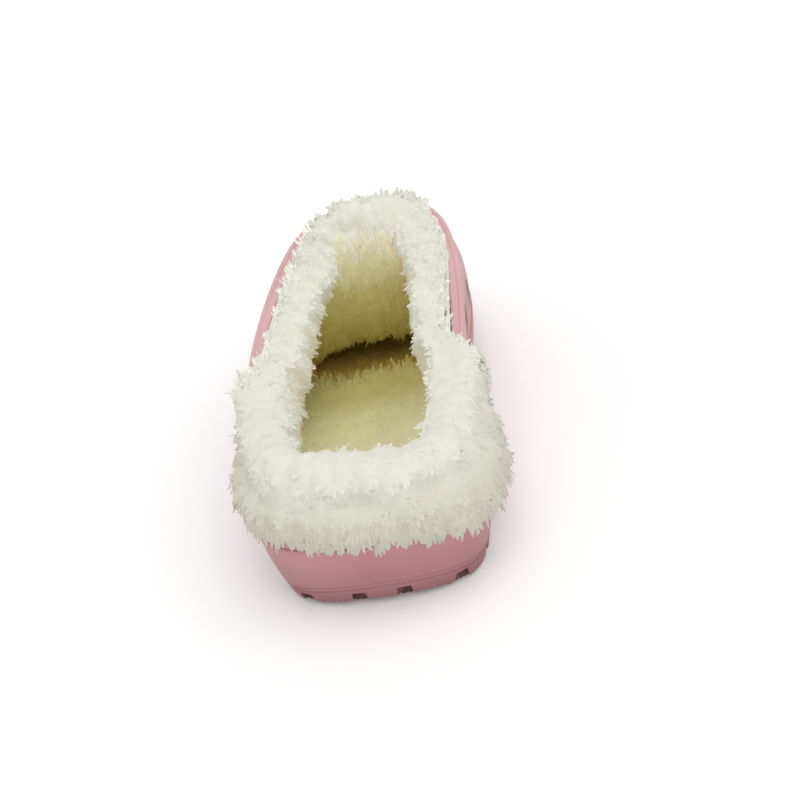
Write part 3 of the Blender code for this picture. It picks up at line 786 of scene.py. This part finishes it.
class UpperSkin:
    """Outer skin of the upper: one curve for each direction, from the sole's edge to the collar."""

    def __init__(self):
        rows = closed_spline(list(COLLAR.values()), COUNT).T
        collar = np.stack([rows[0] * HALF_BALL, rows[1] * LENGTH, rows[2] * INSTEP_HEIGHT], 1)
        curves = self.curves(collar, np.radians(rows[3]), rows[4], rows[5])
        run = np.linalg.norm(np.diff(curves, axis=1), axis=2)
        depth = np.zeros(curves.shape[:2])
        depth[:, :-1] = run[:, ::-1].cumsum(1)[:, ::-1]
        self.full_depth = depth[:, 0]
        around = np.roll(curves, -1, 0) - np.roll(curves, 1, 0)
        normal = unit(np.cross(around, np.gradient(curves, axis=1)))
        self.rise = unit(curves[:, -1] - curves[:, -2])
        parts = np.linspace(0, 1, SKIN_STEPS)
        self.skin = np.empty((COUNT, SKIN_STEPS, 3))
        self.normal = np.empty((COUNT, SKIN_STEPS, 3))
        for i in range(COUNT):
            down = parts * self.full_depth[i]
            for k in range(3):
                self.skin[i, :, k] = np.interp(down, depth[i, ::-1], curves[i, ::-1, k])
                self.normal[i, :, k] = np.interp(down, depth[i, ::-1], normal[i, ::-1, k])

    def curves(self, collar, arrive, start, end):
        foot = edge_ring(SETBACK, lambda y: edge_z(y) + GAP)
        chord = np.linalg.norm(collar - foot, axis=1)[:, None]
        inward = unit(collar[:, :2] - foot[:, :2])
        upright = np.full(COUNT, math.cos(OUTWARD_LEAN))
        leave = np.column_stack([edge_outward * math.sin(OUTWARD_LEAN), upright])
        reach = np.column_stack([inward * np.cos(arrive)[:, None], np.sin(arrive)])
        first = foot + leave * chord * start[:, None]
        second = collar - reach * chord * end[:, None]
        t = np.linspace(0, 1, SKIN_STEPS)[None, :, None]
        foot, first, second, collar = (p[:, None, :] for p in (foot, first, second, collar))
        s = 1 - t
        return foot * s**3 + 3 * first * t * s**2 + 3 * second * t**2 * s + collar * t**3

    def ring(self, down, out):
        """Ring on the skin, down below the collar and out of it; beyond the skin it goes on straight."""
        down = np.broadcast_to(down, COUNT)
        out = np.broadcast_to(out, COUNT)[:, None]
        part = np.clip(down / self.full_depth, 0, 1) * (SKIN_STEPS - 1)
        low = np.minimum(part.astype(int), SKIN_STEPS - 2)
        f = (part - low)[:, None]
        i = np.arange(COUNT)
        spot = self.skin[i, low] * (1 - f) + self.skin[i, low + 1] * f
        face = self.normal[i, low] * (1 - f) + self.normal[i, low + 1] * f
        above = np.maximum(-down, 0)[:, None] * self.rise
        below = np.maximum(down - self.full_depth, 0)[:, None] * np.array([0, 0, -1])
        return spot + above + below + out * face


upper_skin = UpperSkin()
OUTER_STEPS = 46
INNER_STEPS = 14


def seat_on_sole(ring):
    ring[:, 2] = edge_z(ring[:, 1]) + GAP


upper_rings = []
rim_foot = RIM[0][0]
for step in range(OUTER_STEPS):
    part = 1 - step / OUTER_STEPS
    upper_rings.append(upper_skin.ring(rim_foot + (upper_skin.full_depth - rim_foot) * part, 0))
upper_rings += [upper_skin.ring(down, out) for down, out in RIM]
rim_end = RIM[-1][0]
for step in range(1, INNER_STEPS + 1):
    down = rim_end + (upper_skin.full_depth - rim_end) * step / INNER_STEPS
    upper_rings.append(upper_skin.ring(down, -WALL))
seat_on_sole(upper_rings[0])
seat_on_sole(upper_rings[-1])

# Dish in the wall round each stud: direction of the sole's table in fifths of a row, depth below
# the collar, radius of the dish and of its flat bottom, and depth of the dish.
STUD_DIRECTIONS = {"medial": 17, "lateral": 63}
STUD_DOWN = 0.017
DISH_RADIUS = 0.0082
DISH_FLAT = 0.8 * DISH_RADIUS
DISH_DEPTH = 0.0010
stud_seats = {}
for side, direction in STUD_DIRECTIONS.items():
    i = direction * CAD_STEP
    seat = upper_skin.ring(STUD_DOWN, 0)[i]
    face = upper_skin.ring(STUD_DOWN, 1)[i] - seat
    stud_seats[side] = (seat, unit(face))
for ring in upper_rings[:OUTER_STEPS]:
    for seat, face in stud_seats.values():
        away = np.linalg.norm(ring - seat, axis=1)
        ring -= face * (DISH_DEPTH * ease(share(away, DISH_RADIUS, DISH_FLAT)))[:, None]
upper_faces = ring_faces(len(upper_rings), COUNT, True)
upper = make_piece("upper_moulding", np.concatenate(upper_rings), upper_faces, UPPER_SHARP)

# Vents: rounded upright slots, their mouths eased by a small chamfer.
VENT_WIDTH, VENT_HEIGHT = 0.009, 0.015
VENT_ABOVE_SOLE = 0.013
VENT_DIRECTIONS = (23, 27, 31, 49, 53, 57)
VENT_POINTS = 32
VENT_SQUARENESS = 0.7
VENT_PROBE = 0.002
VENT_RINGS = ((-0.010, 1.0), (-0.0012, 1.0), (0.0004, 1.14), (0.008, 1.5))
vent_turn = 2 * np.pi * (np.arange(VENT_POINTS) + 0.5) / VENT_POINTS
vent_round = np.stack([np.cos(vent_turn), np.sin(vent_turn)])
vent_round = np.sign(vent_round) * np.abs(vent_round) ** VENT_SQUARENESS
vents = []
for direction in VENT_DIRECTIONS:
    i = direction * CAD_STEP
    down = upper_skin.full_depth[i] - VENT_ABOVE_SOLE
    middle = upper_skin.ring(down, 0)[i]
    face = upper_skin.ring(down, 1)[i] - middle
    up = unit(middle - upper_skin.ring(down + VENT_PROBE, 0)[i])
    sideways = np.cross(up, face)
    rings = []
    for out, swell in VENT_RINGS:
        flat, tall = vent_round * np.array([[VENT_WIDTH], [VENT_HEIGHT]]) / 2 * swell
        rings.append(middle + face * out + flat[:, None] * sideways + tall[:, None] * up)
    vents.append(np.array(rings))
carve(upper, make_tubes("vent_cutter", vents), UPPER_SHARP)

# The inside of the wall is faced with thin cloth in the colour of the lining, painted darker as painted
# shade. It is what faces the middle line of the foot: its ends in y, its height, and how straight a point
# has to face it.
MIDDLE_Y, MIDDLE_Z = (0.05, 0.21), 0.036
FACING_FROM, FACING_FULL = 0.2, 0.5
wall_points = point_rows(upper.data, "co") - HEEL_BACK
to_middle = -wall_points
to_middle[:, 1] += np.clip(wall_points[:, 1], *MIDDLE_Y)
to_middle[:, 2] += MIDDLE_Z
facing = (unit(to_middle) * point_rows(upper.data, "normal")).sum(1)
mark(upper.data, "depth", ease(share(facing, FACING_FROM, FACING_FULL)))
# The upper's pinks are painted lighter than the sole's of the same foam, as painted light.
upper_foam_lit = foam_finish("upper_foam_lit", (0.70, 0.43, 0.44), (0.64, 0.37, 0.385), (0.58, 0.66, 0.42))
# Painted light and shade: the upper is painted darker towards the sole and at full brightness at the rim.
UPPER_LIGHT_AND_SHADE = ((0.066, (1, 1, 1)), (0.036, (0.82, 0.66, 0.69)))
upper_foam_lit.tint("Z", UPPER_LIGHT_AND_SHADE)

# Panel of fine slanting ribs round the vents: from and to in y and z, and its soft border.
PANEL_Y, PANEL_Z, PANEL_BORDER = (0.120, 0.232), (0.034, 0.066), 0.006
RIB_SCALE, RIB_HEIGHT = 520.0, 0.0003
panel = 1.0
for axis, (start, stop), shift in (("Y", PANEL_Y, HEEL_BACK[1]), ("Z", PANEL_Z, 0)):
    along = upper_foam_lit.node("ShaderNodeSeparateXYZ", {}, {0: upper_foam_lit.place}, axis)
    panel = panel * along.between(start + shift, start + shift + PANEL_BORDER)
    panel = panel * along.between(stop + shift, stop + shift - PANEL_BORDER)
panel_ribs = upper_foam_lit.node(
    "ShaderNodeTexWave",
    {"wave_type": "BANDS", "bands_direction": "DIAGONAL"},
    {"Vector": upper_foam_lit.place, "Scale": RIB_SCALE},
    "Fac",
)
upper_foam_lit.relief(upper_foam_lit.skin * 0.3 + panel * panel_ribs, RIB_HEIGHT, 0.6)
upper_foam_lit.dress(upper)
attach(upper, "root")
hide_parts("upper")

# Side studs. Domed dark grey plugs of nylon, pressed into dishes in both sides of the upper just
# ahead of the ends of the folded cuff.
STUD_SIDES = 48
STUD_PROFILE = (
    (0.0058, -0.0012), (0.0058, 0.0006), (0.0056, 0.0011), (0.0051, 0.0013), (0.0046, 0.0011),
    (0.0042, 0.0013), (0.0036, 0.0020), (0.0025, 0.0026), (0.0012, 0.0028), (0.0003, 0.0028),
)
stud_nylon = Finish("stud_nylon", specular_ior_level=0.5)
stud_wear = stud_nylon.noise(0.0015, 3, 0.6)
stud_nylon.colour((0.055, 0.054, 0.050), (0.105, 0.102, 0.095), stud_wear.between(0.35, 0.7))
stud_nylon.put("Roughness", 0.32 + stud_wear * 0.25)
stud_nylon.relief(stud_nylon.noise(0.0004, 2), 0.00006, 0.6)
stud_turn = 2 * np.pi * np.arange(STUD_SIDES)[:, None] / STUD_SIDES
for side, (seat, face) in stud_seats.items():
    across = unit(np.cross(face, UPWARD))
    spokes = np.cos(stud_turn) * across + np.sin(stud_turn) * np.cross(across, face)
    rings = [seat + spokes * radius + face * (height + GAP) for radius, height in STUD_PROFILE]
    stud = make_tubes("stud_" + side, [np.array(rings)], UPPER_SHARP)
    stud_nylon.dress(stud)
    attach(stud, "root")
    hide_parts("side_stud_" + side)

# Vamp lining. A sock of short-pile fleece sewn under the throat. It hangs down behind the throat
# as a soft curtain and then lies as the low roof of the toe pocket over the insole.
LINING_THICK = 0.0022
LINING_ACROSS = 61
LINING_ALONG = 90
OVER_INSOLE = 0.0008
DROP_SHARPNESS = 2.6
SAG, SAGS_ACROSS, SAGS_ALONG, SAG_SHIFT = 0.0010, 260, 9, 0.8
LINED_Y, LINED_Z = 0.175, 0.095
# Middle of the lining from the throat to the toe: x, y, z, half width and how far its sides come down
# to the insole, as a share.
LINING_COLUMNS = ("x", "y", "z", "half_width", "drop")
LINING = {
    "throat seam":  (0.0125, 0.1390, 0.1000, 0.017, 0.00),
    "under roll":   (0.0120, 0.1305, 0.0945, 0.018, 0.00),
    "curtain":      (0.0095, 0.1315, 0.0800, 0.022, 0.05),
    "low curtain":  (0.0050, 0.1400, 0.0580, 0.028, 0.15),
    "lip":          (0.0020, 0.1490, 0.0395, 0.033, 0.40),
    "roof start":   (0.0010, 0.1590, 0.0350, 0.036, 0.85),
    "roof":         (0.0000, 0.1850, 0.0330, 0.037, 1.00),
    "toes":         (-0.0020, 0.2150, 0.0340, 0.033, 1.00),
    "toe end":      (-0.0025, 0.2430, 0.0290, 0.020, 1.00),
}


def open_spline(rows, count):
    """Smooth open curve through the rows (Catmull-Rom), sampled count times."""
    rows = np.asarray(rows, float)
    ends = np.concatenate([2 * rows[:1] - rows[1:2], rows, 2 * rows[-1:] - rows[-2:-1]])
    place = np.linspace(0, len(rows) - 1, count)
    row = np.minimum(place.astype(int), len(rows) - 2)
    f = (place - row).reshape((-1,) + (1,) * (rows.ndim - 1))
    a, b, c, d = (ends[row + k] for k in range(4))
    return 0.5 * (2 * b + (c - a) * f + (2 * a - 5 * b + 4 * c - d) * f**2 + (3 * b - a - 3 * c + d) * f**3)


lining_rows = dict(zip(LINING_COLUMNS, open_spline(list(LINING.values()), LINING_ALONG).T))
u = np.linspace(-1, 1, LINING_ACROSS)[None, :]
lining_y = np.repeat(lining_rows["y"][:, None], LINING_ACROSS, 1)
lining_x = lining_rows["x"][:, None] + u * lining_rows["half_width"][:, None]
floor_z = bed_z(lining_y) + INSOLE_THICK + OVER_INSOLE
side_drop = lining_rows["drop"][:, None] * np.abs(u) ** DROP_SHARPNESS
lining_z = lining_rows["z"][:, None] * (1 - side_drop) + floor_z * side_drop
sag_along = np.sin(np.linspace(0, SAGS_ALONG, LINING_ALONG))[:, None]
sag = SAG * np.sin(lining_x * SAGS_ACROSS + SAG_SHIFT) * sag_along
lining_grid = np.stack([lining_x, lining_y + sag, lining_z], 2)
lining_normals = grid_normals(lining_grid)
if lining_normals[LINING_ALONG // 3, LINING_ACROSS // 2, 1] > 0:
    lining_normals = -lining_normals
backing_grid = lining_grid - lining_normals * LINING_THICK
lining_size = LINING_ALONG * LINING_ACROSS
sheet_faces = grid_faces(LINING_ALONG, LINING_ACROSS)
lining_faces = [*sheet_faces.tolist(), *(sheet_faces[:, ::-1] + lining_size).tolist()]
sheet_index = np.arange(lining_size).reshape(LINING_ALONG, LINING_ACROSS)
border = [*sheet_index[:, 0], *sheet_index[-1, 1:], *sheet_index[-2::-1, -1], *sheet_index[0, -2:0:-1]]
for here, following in zip(border, border[1:] + border[:1]):
    lining_faces.append([here, following, following + lining_size, here + lining_size])
lining = make_piece("vamp_lining", np.concatenate([lining_grid, backing_grid]).reshape(-1, 3), lining_faces)
# Pale and deep cream, then the painted shade at the roots of the pile.
LINING_CREAMS = (0.90, 0.88, 0.80), (0.82, 0.79, 0.68), (0.80, 0.76, 0.60)
lining_fleece = fleece_finish("lining_fleece", *LINING_CREAMS, 0.005)
# Painted shade: the lining is painted darker and more olive lower down, towards the toe pocket.
LINING_PAINTED_SHADE = (
    (0.094, (0.92, 0.89, 0.72)),
    (0.078, (0.92, 0.87, 0.54)),
    (0.062, (0.80, 0.72, 0.31)),
    (0.042, (0.64, 0.54, 0.17)),
)
lining_fleece.tint("Z", LINING_PAINTED_SHADE)
lining_fleece.dress(lining)
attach(lining, "root")
lined_rows = (lining_rows["y"] < LINED_Y) * (lining_rows["z"] < LINED_Z) * 1.0
lining_weight = np.repeat(lined_rows[:, None], LINING_ACROSS, 1)
lining_weight[:, -1] = 0
lining_marks = np.zeros((*lining_weight.shape, 2))


def comb_along(along, row, column):
    return along


lining_base = lining_fleece, lining_grid, lining_normals, lining_marks
lining_form = 0.0030, 0.0012, HAIR_STATIONS, 1.3, 0.3
lining_pile = grow("lining_pile", *lining_base, 9000, lining_weight, comb_along, *lining_form)

# Fleece cuff. Long-pile fleece sewn inside the collar, rolled over the rim at the throat and folded
# down outside round the heel. The fold makes two soft tiers with a crease between them.
FOLDED = RIM_STEP + GAP
ON_RIM = -0.8 * WALL
BARE = -0.0008
# In metres for the directions of the sole's table. skirt: how far the fold hangs down outside.
# reach: how far out it is hung. outside, inside: thickness. roll: height over the rim. lining: depth.
# foot: thickness at the lower end of the lining.
CUFF_COLUMNS = ("skirt", "reach", "outside", "inside", "roll", "lining", "foot")
CUFF = {
    "heel back":        (0.0190, FOLDED, 0.0080, 0.010, 0.010, 0.037, 0.0050),
    "heel medial":      (0.0232, FOLDED, 0.0080, 0.0085, 0.008, 0.038, 0.0043),
    "quarter medial":   (0.0260, FOLDED, 0.0078, 0.0080, 0.008, 0.038, 0.0040),
    "waist medial":     (0.0150, FOLDED, 0.0085, 0.0095, 0.008, 0.038, 0.0048),
    "instep medial":    (BARE, -0.0055, 0.0018, 0.0175, 0.006, 0.039, 0.0075),
    "ball medial":      (BARE, -0.0025, 0.0018, 0.0190, 0.007, 0.043, 0.0060),
    "joint medial":     (BARE, ON_RIM, 0.0040, 0.0155, 0.010, 0.038, 0.0060),
    "toe medial":       (BARE, 0.0000, 0.0040, 0.015, 0.012, 0.030, 0.0075),
    "toe tip":          (BARE, 0.0000, 0.0040, 0.014, 0.013, 0.030, 0.0070),
    "toe lateral":      (BARE, 0.0000, 0.0040, 0.014, 0.012, 0.030, 0.0070),
    "joint lateral":    (BARE, ON_RIM, 0.0040, 0.015, 0.009, 0.038, 0.0060),
    "ball lateral":     (BARE, -0.0035, 0.0018, 0.0195, 0.006, 0.043, 0.0060),
    "instep lateral":   (BARE, -0.0065, 0.0018, 0.0200, 0.006, 0.039, 0.0085),
    "waist lateral":    (0.0075, FOLDED, 0.0070, 0.0145, 0.010, 0.039, 0.0033),
    "quarter lateral":  (0.0175, FOLDED, 0.0080, 0.0125, 0.012, 0.034, 0.0043),
    "heel lateral":     (0.0178, FOLDED, 0.0080, 0.0105, 0.012, 0.033, 0.0050),
}
# Where the fold ends on both sides: direction round the foot in rows, and the row that holds there.
# CROWN_ENDS: rows either side of the toe tip where the crown of the roll begins and is full.
FOLD_ENDS = ((0, 0), (2.85, 3), (3.20, 4), (5, 5), (11, 11), (12.72, 12), (13.20, 13), (16, 16))
TOE_TIP = list(CUFF).index("toe tip")
CROWN_ENDS = (2.6, 1.6)
FOLD_FROM, FOLD_FULL = 0.004, 0.014
CUFF_FRONT = 44
CUFF_SHARP = 80
# Shares of the section from the hem to the end of the lining: where it is free to curl, where the
# crease lies and how wide it is, and where the painted shade of the lower tier begins and is full.
FREE_FROM_HEM, FREE_TO_END = 0.08, 0.90
CREASE_DOWN, CREASE_WIDTH, CREASE_DEPTH = 0.26, 0.06, 0.0024
TIER_FROM, TIER_FULL = 0.30, 0.08
TIER_SHADE, CREASE_SHADE = 0.9, 0.3
WANDER, WANDERS = 0.4, 7
CLUMP_HEIGHT, CLUMP_LEVEL = 0.0026, 0.55
PUFF, PUFF_HEIGHT = 0.012, 0.0016
PILE_THICK = 0.0017


def closed_ease(rows, place):
    """Values that ease from row to row with no overshoot; place: where round the loop, in rows."""
    rows = np.asarray(rows, float)
    row = place.astype(int)
    f = ease(place - row)[:, None]
    return rows[row % len(rows)] * (1 - f) + rows[(row + 1) % len(rows)] * f


direction = np.arange(COUNT) * len(CUFF) / COUNT
cuff_place = np.interp(direction, *zip(*FOLD_ENDS))
cuff = dict(zip(CUFF_COLUMNS, closed_ease(list(CUFF.values()), cuff_place).T))
skirt, reach = cuff["skirt"], cuff["reach"]
skirt[:] = BARE + (skirt - BARE) * ease(share(reach, 0.5 * RIM_STEP, FOLDED))
within = -WALL - GAP
# Section of the cuff from the hem of the skirt over the roll to the end of the lining, then back
# along the wall. Shares of the columns named: how far down, then how thick outside, or inside and foot.
OUTER_SECTION = (
    ("skirt", 1.00, 0.35), ("skirt", 0.90, 0.75), ("skirt", 0.62, 1.00), ("skirt", 0.25, 0.95),
    ("roll", -0.45, 0.70), ("roll", -0.95, 0.10),
)
INNER_SECTION = (
    ("roll", -0.95, 0.40, 0.00), ("roll", -0.45, 0.85, 0.00), ("lining", 0.25, 1.00, 0.00),
    ("lining", 0.70, 0.40, 0.60), ("lining", 1.00, 0.00, 1.00), ("lining", 1.00, 0.00, 0.00),
)
back_section = (
    (0.5 * cuff["lining"], within), (EDGE_ROUND, within), (-GAP, within), (-GAP, reach),
    (0.5 * (skirt - GAP), reach), (skirt, reach),
)
front_rings = []
for column, part, thick in OUTER_SECTION:
    front_rings.append(upper_skin.ring(part * cuff[column], reach + thick * cuff["outside"]))
for column, part, thick, foot in INNER_SECTION:
    out = within - thick * cuff["inside"] - foot * cuff["foot"]
    front_rings.append(upper_skin.ring(part * cuff[column], out))
back_rings = [upper_skin.ring(down, out) for down, out in back_section]
cuff_grid = open_spline(np.array(front_rings), CUFF_FRONT)
cuff_normals = grid_normals(cuff_grid)
from_middle = cuff_grid - cuff_grid.mean(0)
cuff_normals *= np.sign((cuff_normals * from_middle).sum(2))[..., None]
section = np.linspace(0, 1, CUFF_FRONT)[:, None]
free = ease(share(section, 0.0, FREE_FROM_HEM)) * ease(share(section, 1.0, FREE_TO_END))
folded = ease(share(skirt, FOLD_FROM, FOLD_FULL))[None, :]
crease = np.exp(-(((section - CREASE_DOWN) / CREASE_WIDTH) ** 2)) * folded
wander = 1 + WANDER * np.sin(np.arange(COUNT) * 2 * np.pi * WANDERS / COUNT)[None, :]
_, cuff_near = clump_of(cuff_grid.reshape(-1, 3))
puffs = np.array([noise.noise(Vector(point / PUFF)) for point in cuff_grid.reshape(-1, 3)])
curls = CLUMP_HEIGHT * (cuff_near.reshape(CUFF_FRONT, COUNT) - CLUMP_LEVEL)
curls = curls + PUFF_HEIGHT * puffs.reshape(CUFF_FRONT, COUNT)
relief = (curls - PILE_THICK - CREASE_DEPTH * crease * wander) * free
cuff_grid = cuff_grid + cuff_normals * relief[..., None]
lumpy_normals = grid_normals(cuff_grid)
cuff_normals = lumpy_normals * np.sign((lumpy_normals * cuff_normals).sum(2))[..., None]

# The fleece is painted darker in the crease and the lower tier, as painted shade, and given a painted
# glow on the inside of the roll. LIT_SECTION: share of the section where the glow begins and is full,
# and how much sooner at the crown.
LIT_SECTION = ((0.54, 0.08), (0.76, 0.12))
crown = ease(share(np.abs(direction - TOE_TIP), *CROWN_ENDS))[None, :]
tier = ease(share(section, TIER_FROM, TIER_FULL))
cuff_painted_shade = folded * share(TIER_SHADE * tier + CREASE_SHADE * crease, 0, 1)
glow_from, glow_full = (here - sooner * crown for here, sooner in LIT_SECTION)
cuff_painted_glow = ease(share(section, glow_from, glow_full))
cuff_marks = np.stack([cuff_painted_shade, cuff_painted_glow], 2)
cuff_rings = [*cuff_grid, *back_rings]
cuff_faces = ring_faces(len(cuff_rings), COUNT, True)
fleece_base = make_piece("fleece_cuff_base", np.concatenate(cuff_rings), cuff_faces, CUFF_SHARP)
# Pale and deep cream, then the painted shade of the crease and lower tier; last, the painted glow under
# long locks.
CUFF_CREAMS = (0.785, 0.782, 0.69), (0.745, 0.738, 0.622), (0.56, 0.54, 0.43)
cuff_fleece = fleece_finish("cuff_fleece", *CUFF_CREAMS, 0.007, (0.32, 0.316, 0.27))
for name, values in (("depth", cuff_painted_shade), ("inside", cuff_painted_glow)):
    mark(fleece_base.data, name, np.concatenate([values, np.zeros((len(back_rings), COUNT))]))
cuff_fleece.dress(fleece_base)
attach(fleece_base, "root")
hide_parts("fleece_cuff")

# Pile of the cuff. Curled locks of the same fleece, drawn together into small clumps, with finer
# hairs between them. They lie down outside and inside the roll and hang as a fringe from the hem.
# For each: count, length, width, stations, lean and swing.
CUFF_PILE = {
    "fleece_locks_": (11000, 0.0027, 0.0016, LOCK_STATIONS, 1.9, 0.25),
    "fleece_hairs_": (2500, 0.0032, 0.0005, HAIR_STATIONS, 1.1, 0.35),
}
HEEL_PART = 0.30 * LENGTH
GROWN_FROM, GROWN_TO = 0.03, 0.86
HANG = 0.6
CREST = (0.56, 0.44)
CROWN_LEVEL, CROWN_OUT, RIM_IN = 0.7, 1.5, 0.5
DOWNWARD = -UPWARD
pile_weight = ease(share(section, 0.0, GROWN_FROM)) * ease(share(section, 1.0, GROWN_TO))
pile_weight = pile_weight * np.ones((1, COUNT))
rim_line = front_rings[0]
outward = unit(np.cross(np.roll(rim_line, -1, 0) - np.roll(rim_line, 1, 0), UPWARD))
outward *= np.sign((outward * (rim_line - rim_line.mean(0))).sum(1))[:, None]


def cuff_comb(along, row, column):
    """Down outside the fold and down inside, out over the crown, elsewhere up from the rim and over."""
    outside, fold, front = share(row, *CREST), folded[0, column, None], crown[0, column, None]
    risen = UPWARD * (1 - CROWN_LEVEL * front) + outward[column] * (CROWN_OUT * front - RIM_IN)
    outer = fold * (DOWNWARD * HANG - along) + (1 - fold) * risen
    return outside * outer + (1 - outside) * (along + DOWNWARD * HANG * (fold + front))


at_heel = (edge[:, 1] < HEEL_PART)[None, :]
cuff_base = cuff_fleece, cuff_grid, cuff_normals, cuff_marks
for part, here in (("heel", at_heel), ("collar", ~at_heel)):
    for name, (count, *form) in CUFF_PILE.items():
        grow(name + part, *cuff_base, count, pile_weight * here, cuff_comb, *form)

# Long locks: a fringe of pointed bunches along the hem of the fold, and strands that hang from the
# roll over the top of the lining. For each: count, length, width, where they are rooted.
FRINGE_TO = 0.16
STRANDS_FROM, STRANDS_TO = 0.52, 0.66
LONG_LOCKS = {
    "fringe": (3200, 0.0052, 0.0011, (section < FRINGE_TO) * folded),
    "strands": (300, 0.0085, 0.0010, (section > STRANDS_FROM) * (section < STRANDS_TO) * crown),
}
BUNCH = 0.6
OUT_AT_ROOT, IN_AT_TIP, DOWN_AT_TIP = 0.30, 0.15, 0.2
ROOT_STRAY, TIP_STRAY = 0.14, 0.12
HEM_LENGTHS, HEM_WIDTHS = (0.4, 1.1), (0.6, 1.2)
HEM_EDGE_OF_CURL, HEM_CURL_GAIN = 0.6, 0.7
HEM_SOFTNESS = 0.85
for name, (count, length, width, weight) in LONG_LOCKS.items():
    roots, faces, spots, *_ = scatter(*cuff_base[1:], count, weight)
    middles, near = clump_of(roots)
    ways = DOWNWARD + faces * OUT_AT_ROOT + (middles - roots) / CLUMP * BUNCH
    ways = unit(ways + draw.normal(size=(count, 3)) * ROOT_STRAY)
    bends = DOWNWARD * DOWN_AT_TIP - faces * IN_AT_TIP + draw.normal(size=(count, 3)) * TIP_STRAY
    lengths = length * draw.uniform(*HEM_LENGTHS, count) * (HEM_EDGE_OF_CURL + HEM_CURL_GAIN * near)
    widths = width * draw.uniform(*HEM_WIDTHS, count)
    form = ways, bends, lengths, widths, LOCK_STATIONS, HEM_SOFTNESS
    make_pile("fleece_" + name, cuff_fleece, roots, faces, *form, spots)

# Studio. A plain pale floor, a broad soft light overhead and even light all round. The camera stands
# behind and above the heel, turned about its own axis as in the photograph.
FLOOR_SIDE = 12.0
VIEW_ELEVATION = math.radians(30)
VIEW_ROLL = math.radians(11)
VIEW_DISTANCE = 0.380
VIEW_TARGET = np.array([0.0143, 0.0720, 0.0457])
FOCAL_PIXELS, IMAGE_PIXELS = 955, 800
SENSOR = 36.0
WHITE = (1, 1, 1, 1)

half = FLOOR_SIDE / 2
floor_corners = [(-half, -half, 0), (half, -half, 0), (half, half, 0), (-half, half, 0)]
floor_mesh = bpy.data.meshes.new("floor")
floor_mesh.from_pydata(floor_corners, [], [(0, 1, 2, 3)])
floor = add_object("floor", floor_mesh)
floor_light = {"emission_strength": 0.05, "emission_color": WHITE}
floor_finish = Finish("floor_paint", roughness=0.85, specular_ior_level=0.1, **floor_light)
floor_finish.colour((0.95, 0.95, 0.95), (0.97, 0.97, 0.97), floor_finish.noise(0.4, 2))
floor_finish.dress(floor)

overhead = bpy.data.lights.new("overhead", "SUN")
overhead.energy = 1.45
overhead.angle = math.radians(70)
add_object("overhead", overhead).rotation_euler = (math.radians(18), math.radians(12), 0)
world = bpy.data.worlds.new("studio")
world.use_nodes = True
background = world.node_tree.nodes["Background"]
background.inputs["Color"].default_value = WHITE
background.inputs["Strength"].default_value = 0.60
bpy.context.scene.world = world
bpy.context.scene.view_settings.view_transform = "Standard"

sin_e, cos_e = math.sin(VIEW_ELEVATION), math.cos(VIEW_ELEVATION)
sin_r, cos_r = math.sin(VIEW_ROLL), math.cos(VIEW_ROLL)
backward = Vector((sin_e * sin_r, -cos_e, sin_e * cos_r))
rightward = Vector((cos_r, 0, -sin_r))
upward = backward.cross(rightward)
camera_data = bpy.data.cameras.new("camera")
camera_data.sensor_width = SENSOR
camera_data.lens = SENSOR * FOCAL_PIXELS / IMAGE_PIXELS
camera_data.clip_start = 0.02
camera = add_object("camera", camera_data)
turned = Matrix((rightward, upward, backward)).transposed().to_4x4()
stand = Vector(VIEW_TARGET + HEEL_BACK) + backward * VIEW_DISTANCE
camera.matrix_world = Matrix.Translation(stand) @ turned
bpy.context.scene.camera = camera
